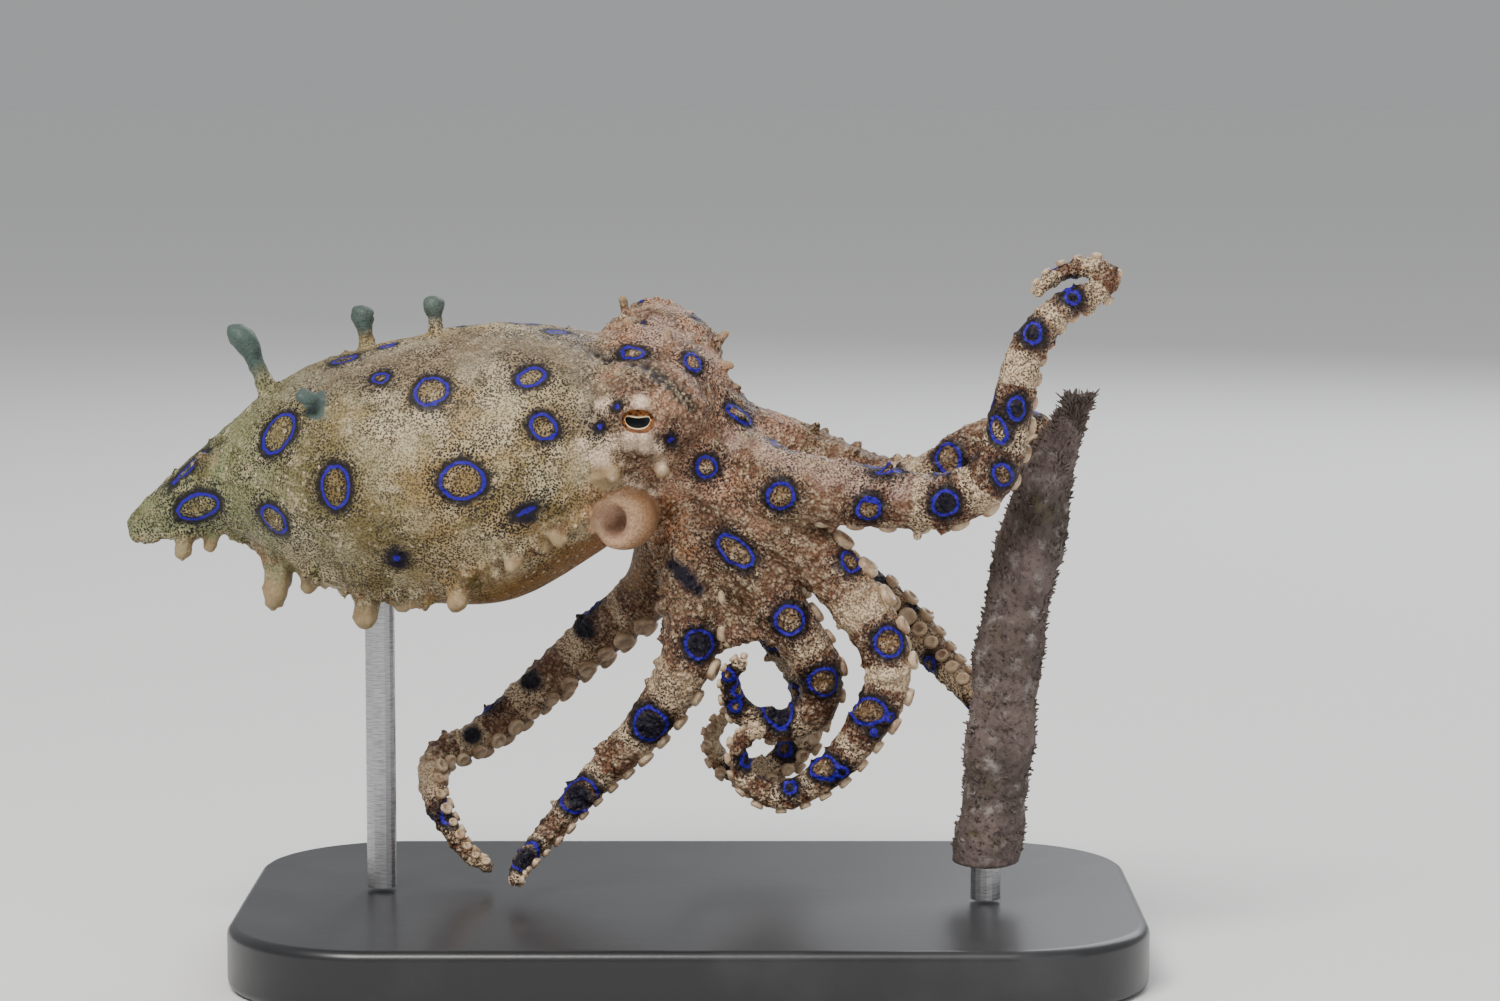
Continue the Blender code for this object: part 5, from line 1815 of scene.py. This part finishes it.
class Bands:
    """The arms' pale bands and sucker sides, filled in arm by arm."""

    BLOCKS = 12
    HALF = (0.45, 0.5)
    EDGE = (0.8, 1.8)
    FADE = (9.0, 23.0)
    ARM_FROM = (6.0, 12.0)
    WITHIN = (1.6, 0.5)
    ORAL = (0.35, 0.85)

    def __init__(self, canvas: Canvas) -> None:
        """Starts with no arm."""
        self.canvas = canvas
        count = len(canvas.points)
        self.nearest = np.full(count, 1e9)
        self.pale, self.arm, self.oral = (np.zeros(count) for _ in range(3))

    def add(self, line: ArmLine, stations: Sequence[float]) -> None:
        """Fills in one arm where it is the nearest.

        Args:
            line: the arm.
            stations: distances along it of its rings, which lie in the dark bands.
        """
        points, out = self.canvas.points, self.canvas.out
        middles, along = line.points[::2], line.along[::2]
        for block in np.array_split(np.arange(len(points)), self.BLOCKS):
            gap = norms(points[block, None] - middles[None])
            best = gap.argmin(axis=1)
            away = gap[np.arange(len(block)), best]
            closer = away < self.nearest[block]
            mine, at, away = block[closer], along[best[closer]], away[closer]
            self.nearest[mine] = away
            radius = line.radius(at)
            off = np.abs(at[:, None] - np.array(stations)[None]).min(axis=1)
            half = self.HALF[0] * radius + self.HALF[1]
            self.pale[mine] = smoothstep(*self.EDGE, off / half) * smoothstep(*self.FADE, at)
            on_arm = (smoothstep(*self.ARM_FROM, at)
                      * (away < radius * self.WITHIN[0] + self.WITHIN[1]))
            self.arm[mine] = on_arm
            facing = (out[mine] * line.frame(at)[2]).sum(axis=1)
            self.oral[mine] = smoothstep(*self.ORAL, facing) * on_arm


@dataclass(frozen=True)
class Relief:
    """The depths of the skin's fine forms, in millimetres, and where they lie."""

    lumps: tuple[Triple, ...] = ((0.08, 1.1, 0.0), (0.05, 0.5, 7.0))
    grain_size: float = 0.8
    grain: float = 0.17
    swell: float = 0.25
    fold: float = 0.4
    bare_share: float = 0.7
    bare_under: tuple[float, float] = (4.0, 12.0)
    bare_eye: tuple[float, float] = (1.6, 2.6)
    bald_share: float = 0.35
    bald_size: float = 3.0
    eye_sink: float = 0.9
    eye_edge: float = 2.2
    eye_from: float = 2.5

    def lay(self, skin: Obj) -> None:
        """Gives the skin its soft folds, and lets each eye through its lids."""
        canvas = Canvas(skin)
        points = canvas.points
        on_mantle, degrees, share = MANTLE.read(points)
        bare = np.max([on_mantle * smoothstep(*self.bare_under, degrees - MANTLE.ridge(share)),
                       1 - smoothstep(*self.bare_eye, HEAD.from_eyes(points)),
                       SIPHON.read(points) > 0], axis=0)
        patchy = smoothstep(-0.2, 0.3, lumps(points, self.bald_size, 5.0))
        patchy = self.bald_share + (1 - self.bald_share) * patchy
        fold = canvas.patches(MARKINGS.folds)
        swell = canvas.patches(MARKINGS.creams + MARKINGS.crests)
        warty = (grains(points, self.grain_size) * (1 - bare)
                 * np.where(on_mantle > 0.5, patchy, 1.0))
        canvas.store(fold=fold, wart=warty)
        relief = sum(depth * lumps(points, size, offset) for depth, size, offset in self.lumps)
        rise = ((relief + self.grain * warty) * (1 - self.bare_share * bare)
                + self.swell * swell - self.fold * fold)
        points = points + canvas.out * rise[:, None]
        for side in Side:
            along, across, way = HEAD.axes(side)
            off = points - HEAD.slit(side)
            wide, high = HEAD.opening
            inside = 1 - (off @ along / wide) ** 2 - (off @ across / high) ** 2
            sunk = np.clip(inside * self.eye_edge, 0, 1) * (off @ way > self.eye_from)
            points = points - way * (sunk * self.eye_sink)[:, None]
        Bench.move_points(skin, points)


class SkinMap:
    """Where the skin's finish finds its rings, bands, patches and regions."""

    PATCHES = ("creams", "crests", "pales", "blushes", "dusks", "glows")
    DARK_FLANKS = ((0.45, 0.11, 60, 32), (0.56, 0.08, 85, 20))
    FLANK_SHARE = 0.85
    NAPE, NAPE_SIDES = (0.99, 0.06), (35, 70)
    SPINE, SPINE_SIDES, SPINE_SHARE = (0.3, 0.5), (6, 30), 0.8
    BELLY, RIDGE, TAIL = (3, 12), (-4, 10), (0.2, 0.68)
    # Painted shade under the head: below these heights and within these distances of the crown.
    LOW_HEIGHT, LOW_REACH = (32.5, 38.0), (9, 15)
    MOUND, WARM, WARM_BACK, GAPE = (1.2, 2.6), (3.0, 8.0), 3, (1.1, 1.6)
    STALK = (0.1, 0.8)
    STALK_WITHIN = (1.8, 0.3)

    def __init__(self, flesh: Flesh, core: Surface, skin: Obj) -> None:
        """Takes the finished skin."""
        self.flesh = flesh
        self.canvas = Canvas(skin)
        self.rings = Rings(flesh, core, self.canvas)

    def store(self) -> None:
        """Stores everything on the skin's points."""
        canvas = self.canvas
        bands = Bands(canvas)
        for line, stations in zip(self.flesh.lines, self.rings.stations):
            bands.add(line, stations)
        clubs = self.stalks(self.flesh.clubs)
        field = self.rings.field(canvas.points, canvas.out)
        canvas.store(papilla=self.stalks(self.flesh.papillae), club=clubs,
                     ring=np.where(clubs > 0.1, Spot.BEYOND, field),
                     dark=canvas.patches(MARKINGS.spots), pale=bands.pale, arm=bands.arm,
                     oral=bands.oral)
        canvas.store(**{name: canvas.patches(getattr(MARKINGS, name)) for name in self.PATCHES})
        self.mantle()
        self.front(bands.arm)
        LOG.info("%d rings", len(self.rings.kept))

    def mantle(self) -> None:
        """Stores the mantle's belly, ridge, tail, dark flanks, the painted shade at the nape and
        the darker spine.
        """
        on_mantle, degrees, share = MANTLE.read(self.canvas.points)
        off = degrees - MANTLE.ridge(share)
        flank = np.max([bell(degrees, middle, width) * bell(share, at, length)
                        for at, length, middle, width in self.DARK_FLANKS], axis=0)
        # Painted shade in the nape, between mantle and head.
        nape = bell(share, *self.NAPE) * (1 - smoothstep(*self.NAPE_SIDES, degrees))
        spine = self.SPINE_SHARE * (1 - smoothstep(*self.SPINE_SIDES, degrees))
        spine = spine * smoothstep(*self.SPINE, share)
        self.canvas.store(belly=smoothstep(*self.BELLY, off) * on_mantle,
                          ridge=bell(off, *self.RIDGE) * on_mantle,
                          tail=(1 - smoothstep(*self.TAIL, share)) * on_mantle,
                          flank=self.FLANK_SHARE * flank * on_mantle,
                          nape=np.maximum(nape, spine * on_mantle))

    def front(self, on_arm: Array) -> None:
        """Stores the head, the eye mounds, the shaded underside and the siphon."""
        points = self.canvas.points
        on_mantle = MANTLE.read(points)[0]
        funnel = SIPHON.read(points)
        near = norms(points - CROWN.middle)
        # Painted shade: darker low down and near the arm roots.
        low = ((1 - smoothstep(*self.LOW_HEIGHT, points[:, 2]))
               * (1 - smoothstep(*self.LOW_REACH, near)))
        glow = norms(points - np.array(SIPHON.root) + FRONT * self.WARM_BACK)
        off = points - np.array(SIPHON.end) - FRONT * SIPHON.mouth_shift
        gape = 1 - smoothstep(*self.GAPE, norms(off[:, (0, 2)]))
        self.canvas.store(head=(1 - on_mantle) * (1 - on_arm), low=low * (1 - on_mantle),
                          mound=1 - smoothstep(*self.MOUND, HEAD.from_eyes(points)),
                          warm=1 - smoothstep(*self.WARM, glow), funnel=funnel,
                          gape=gape * (funnel > 0))

    def stalks(self, bumps: Sequence[Bump]) -> Array:
        """How far up one of some papillae or clubs each point is, from 0 to 1."""
        weight = np.zeros(len(self.canvas.points))
        widths, more = self.STALK_WITHIN
        for base, way, height, radius in bumps:
            rise, off = round_line(self.canvas.points, base, way)
            near = norms(off) < radius * widths + more
            weight = np.maximum(weight, smoothstep(*self.STALK, rise / height) * near)
        return weight


class Skin:
    """The one skin over mantle, head, siphon, crown, web and arms."""

    NODES = ("mantle", "head", "arm_crown", "siphon")

    def build(self, lines: Sequence[ArmLine]) -> None:
        """Makes the skin and dresses it."""
        flesh = Flesh(lines)
        skin, core = flesh.form()
        Relief().lay(skin)
        SkinMap(flesh, core, skin).store()
        arms = [name for line in lines for name in line.arm.nodes]
        Bench.finish(skin, SkinFinish().make(), Slot.SKIN, *self.NODES, *arms)


class Suckers:
    """Two rows of suckers along each arm, from the mouth to the tip."""

    START = 4.6
    ROW_DEGREES = 30.0
    STEP, STEP_PER_RADIUS = 0.34, 0.4
    SIZE, SIZE_PER_RADIUS = 0.21, 0.29
    SINK, SINK_PER_RADIUS = 0.1, 0.25
    RISE, RISE_PER_SIZE = 0.16, 0.5
    UNEVEN, UNEVEN_PACE = 0.14, 7.3
    OFF_SKIN = 0.05
    TIP_ROOM = 0.5
    CUP = ((0.0, 0.7), (0.35, 0.84), (0.62, 1.0), (0.82, 1.04), (0.94, 0.96), (1.0, 0.8),
           (0.98, 0.64), (0.9, 0.5), (0.78, 0.38), (0.72, 0.16))

    def places(self, line: ArmLine) -> list[Array]:
        """Where an arm's suckers stand."""
        found, at, row = [], self.START, 1
        while at < line.length - self.TIP_ROOM:
            middle, way, oral, radius = line.at(at)
            size = self.SIZE + self.SIZE_PER_RADIUS * radius
            size *= 1 + self.UNEVEN * math.sin(self.UNEVEN_PACE * at + line.length)
            angle = math.radians(self.ROW_DEGREES) * row
            side = np.cross(way, oral)
            out = turned_to(oral, side, angle)
            surface = turned_to(oral * line.FLATTENING, side, angle)
            sink = self.SINK_PER_RADIUS * radius + self.SINK
            foot = middle + surface * (radius + self.OFF_SKIN) - out * sink
            height = self.RISE + self.RISE_PER_SIZE * size + sink
            found.append(placing(foot, out, size, height))
            at += self.STEP + self.STEP_PER_RADIUS * radius
            row = -row
        return found

    def build(self, lines: Sequence[ArmLine]) -> None:
        """Makes every sucker."""
        places = [place for line in lines for place in self.places(line)]
        cups = Bench.copies(Bench.lathe("sucker", self.CUP, 14), places, "suckers")
        Bench.outwards(cups)
        Bench.finish(cups, SuckerFinish().make(), Slot.ORAL)


class Eyes:
    """The two eyeballs behind their lids."""

    def build(self) -> None:
        """Makes both, each with its own directions stored for the pupil."""
        finish = EyeFinish().make()
        for side in Side:
            along, across, out = HEAD.axes(side)
            centre = HEAD.mound(side) + out * HEAD.ball_out

            def place(share: Array, angle: Array) -> Array:
                round_it = turned_to(along, across, angle)
                return centre + turned_to(-out, round_it, share * math.pi) * HEAD.ball_radius
            ball = Bench.ball(f"eyeball_{side.name.lower()}", 96, 64, place)
            off = Bench.points(ball) - HEAD.slit(side)
            Bench.attribute(ball, "along", off @ along)
            Bench.attribute(ball, "across", off @ across)
            Bench.finish(ball, finish, Slot.EYE, f"eye_{side.name.lower()}")


class Mouth:
    """The folded round lip with the tip of the beak in it."""

    LIP = ((0.0, 1.0), (0.4, 1.02), (0.7, 0.98), (0.92, 0.84), (1.0, 0.66), (0.94, 0.5),
           (0.8, 0.4), (0.6, 0.34), (0.55, 0.06))
    RADIUS = 1.7
    HEIGHT = 1.25
    FOLDS = 15
    FOLD = 0.07
    TOP = (0.3, 1.0)

    def build(self) -> None:
        """Makes the lip over the frame's own."""
        low, high = (np.array(corner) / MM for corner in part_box("mouth"))
        base = (low + high) / 2 - CROWN.mouth * self.HEIGHT * 0.5
        place = placing(base, CROWN.mouth, self.RADIUS, self.HEIGHT)
        lip = Bench.copies(Bench.lathe("lip", self.LIP, 90), [place], "mouth_lip")
        points = Bench.points(lip)
        off = points - base
        side, other = place[:, 0] / self.RADIUS, place[:, 1] / self.RADIUS
        angle = np.arctan2(off @ other, off @ side)
        top = smoothstep(*self.TOP, off @ CROWN.mouth)
        fold = self.FOLD * np.sin(angle * self.FOLDS) * top
        Bench.move_points(lip, points + CROWN.mouth * fold[:, None])
        Bench.outwards(lip)
        Bench.finish(lip, SuckerFinish().make(), Slot.ORAL, "mouth")


class Perch:
    """The cut stem with its crust, felt and frayed top."""

    SEGMENTS = 120
    RINGS = 260
    FOOT, CAP, FADE = 0.02, 0.012, 1.0
    RELIEF = ((0.22, 1.6, 0.0), (0.12, 0.7, 3.0))
    TUFTS = 2600
    TUFT_SINK = 0.2
    TUFT_SPREAD = 0.5
    TOWARDS_TOP = 1.5
    ENDS_BARE = (1.0, 0.2)
    LONG_SHARE = 25
    TUFT = ((0.0, 1.0), (0.45, 0.85), (0.85, 0.6), (1.0, 0.2))

    def surface(self, height: Array, angle: Array) -> Array:
        """Points of the uneven surface."""
        share = STEM.share(height)
        uneven = 1 + 0.07 * np.sin(3 * angle + 9 * share) + 0.05 * np.sin(31 * share)
        reach = (STEM.width(height) * uneven)[:, None]
        return STEM.middle(height) + turned_to(FRONT, FAR, angle) * reach

    def stem(self) -> Obj:
        """The stem itself, with a flat cut foot."""
        low, high = STEM.span

        def place(share: Array, angle: Array) -> Array:
            foot = np.clip(share / self.FOOT, 0, 1)[:, None]
            rise = np.clip((share - self.FOOT) / (1 - self.FOOT), 0, 1)
            height = low + (high - low) * rise
            cap = np.clip((1 - share) / self.CAP, 0, 1)[:, None]
            middle = STEM.middle(height)
            return middle + (self.surface(height, angle) - middle) * foot * cap
        stem = Bench.ball("perch", self.SEGMENTS, self.RINGS, place)
        points, out = Bench.points(stem), Bench.normals(stem)
        relief = sum(depth * lumps(points, size, offset) for depth, size, offset in self.RELIEF)
        fade = smoothstep(low, low + self.FADE, points[:, 2])
        Bench.move_points(stem, points + out * (relief * fade)[:, None])
        return stem

    def tufts(self) -> Obj:
        """Short felted growths, thickest towards the top."""
        rng = np.random.default_rng(SEED)
        low, high = STEM.span
        below, above = self.ENDS_BARE
        share = 1 - rng.random(self.TUFTS) ** self.TOWARDS_TOP
        height = low + below + (high - low - (below + above)) * share
        angle = rng.random(self.TUFTS) * 2 * math.pi
        foot = self.surface(height, angle)
        out = unit(foot - STEM.middle(height)) + UP * (0.3 + 0.7 * share)[:, None]
        out = unit(out + rng.normal(0, self.TUFT_SPREAD, (self.TUFTS, 3)))
        length = 0.15 + 0.45 * rng.random(self.TUFTS) * (0.5 + share ** 4)
        length[: self.TUFTS // self.LONG_SHARE] *= 2.0
        wide = 0.06 + 0.08 * rng.random(self.TUFTS)
        places = [placing(f - o * self.TUFT_SINK, o, w, n + self.TUFT_SINK)
                  for f, o, w, n in zip(foot, out, wide, length)]
        return Bench.copies(Bench.lathe("tuft", self.TUFT, 6), places, "tufts")

    def build(self) -> None:
        """Makes the stem and its felt."""
        perch = Bench.join([self.stem(), self.tufts()], "perch")
        Bench.finish(perch, CrustFinish().make(), Slot.CRUST, "perch_stem")


@dataclass(frozen=True)
class Stand:
    """The display base, with softened edges, and the rods, which keep their own shapes."""

    size: Triple = (72.0, 46.0, 5.0)
    corner: float = 12.0
    edge: float = 0.8
    points: int = 128

    def base(self) -> Obj:
        """The flat board, drawn as a rounded outline, raised and bevelled."""
        Bench.deselect()
        bpy.ops.mesh.primitive_circle_add(vertices=self.points, radius=1.0, fill_type="NGON")
        board = bpy.context.object
        board.name = "display_base"
        raw = Bench.points(board) * MM
        straight = np.array(self.size[:2]) / 2 - self.corner
        outline = raw[:, :2] * self.corner + np.sign(raw[:, :2].round(6)) * straight
        Bench.move_points(board, np.column_stack([outline, np.zeros(len(raw))]))
        bpy.ops.object.mode_set(mode="EDIT")
        bpy.ops.mesh.select_all(action="SELECT")
        bpy.ops.mesh.extrude_region_move(
            TRANSFORM_OT_translate={"value": (0, 0, self.size[2] * MM)})
        bpy.ops.object.mode_set(mode="OBJECT")
        Bench.outwards(board)
        Bench.modify(board, "BEVEL", width=self.edge * MM, segments=4,
                     limit_method="ANGLE", angle_limit=math.radians(60))
        board.data.shade_smooth()
        Bench.modify(board, "WEIGHTED_NORMAL")
        return board

    def build(self) -> None:
        """Gives each its finish."""
        Bench.finish(self.base(), BoardFinish().make(), Slot.BOARD, "stand_base")
        steel = SteelFinish().make()
        for name in ("stand_rod_body", "stand_rod_stem"):
            for slot in frame["nodes"][name].material_slots:
                slot.material = steel
            LOG.info("%s: own shape kept", name)


@dataclass(frozen=True)
class Lamp:
    """A soft light: its place, size and strength."""

    name: str
    place: Triple
    size: float
    watts: float
    colour: Triple = (1.0, 1.0, 1.0)


@dataclass(frozen=True)
class Studio:
    """The floor, the soft lights and the camera."""

    floor_size: float = 12.0
    lamps: tuple[Lamp, ...] = (
        Lamp("key", (-0.16, -0.34, 0.5), 0.26, 4.2, (1.0, 0.97, 0.93)),
        Lamp("fill", (0.34, -0.42, 0.16), 0.4, 0.5),
        Lamp("rim", (0.2, 0.42, 0.36), 0.4, 1.7, (0.95, 0.97, 1.0)))
    zenith: float = 0.48
    horizon: float = 0.375
    brightest_from: float = 0.6
    sky: Triple = (0.97, 0.98, 1.0)
    floor_paint: Colour = Colour(232, 232, 231)

    def floor(self) -> None:
        """A plain pale floor."""
        Bench.deselect()
        bpy.ops.mesh.primitive_plane_add(size=self.floor_size)
        floor = bpy.context.object
        floor.name = "floor"
        n = Nodes("pale floor")
        floor.data.materials.append(n.done(Base_Color=self.floor_paint, Roughness=0.9,
                                           Specular_IOR_Level=0.1))

    def lights(self) -> None:
        """The lamps and the pale surroundings."""
        target = Vector(EYEPOINT.target) * MM
        for lamp in self.lamps:
            bpy.ops.object.light_add(type="AREA", location=lamp.place)
            light = bpy.context.object
            light.name = lamp.name
            light.data.size = lamp.size
            light.data.energy = lamp.watts
            light.data.color = lamp.colour
            light.rotation_euler = (target - light.location).to_track_quat("-Z", "Y").to_euler()
        self.surroundings()

    def surroundings(self) -> None:
        """A pale grey that is brighter overhead than at the horizon."""
        world = bpy.data.worlds.new("studio")
        world.use_nodes = True
        nodes, links = world.node_tree.nodes, world.node_tree.links
        way = nodes.new("ShaderNodeTexCoord")
        split = nodes.new("ShaderNodeSeparateXYZ")
        reach = nodes.new("ShaderNodeMapRange")
        steps = (0.0, self.brightest_from, self.horizon, self.zenith)
        for number, value in enumerate(steps, 1):
            reach.inputs[number].default_value = value
        links.new(way.outputs["Generated"], split.inputs[0])
        links.new(split.outputs["Z"], reach.inputs["Value"])
        sky = nodes["Background"]
        sky.inputs["Color"].default_value = (*self.sky, 1.0)
        links.new(reach.outputs["Result"], sky.inputs["Strength"])
        bpy.context.scene.world = world

    def camera(self) -> None:
        """The camera, at the photograph's viewing angle."""
        bpy.ops.object.camera_add(location=Vector(EYEPOINT.place) * MM)
        camera = bpy.context.object
        camera.rotation_euler = (math.pi / 2 - EYEPOINT.tilt, 0, 0)
        camera.data.lens = EYEPOINT.lens
        camera.data.sensor_width = EYEPOINT.sensor
        camera.data.clip_start = 0.01
        bpy.context.scene.camera = camera

    def build(self) -> None:
        """Sets it all up."""
        self.floor()
        self.lights()
        self.camera()


def main() -> None:
    """Builds the model piece by piece."""
    logging.basicConfig(level=logging.INFO, format="%(name)s: %(message)s")
    lines = [ArmLine(arm) for arm in ARMS]
    Skin().build(lines)
    Suckers().build(lines)
    Eyes().build()
    Mouth().build()
    Perch().build()
    Stand().build()
    Studio().build()


if __name__ == "__main__":
    main()
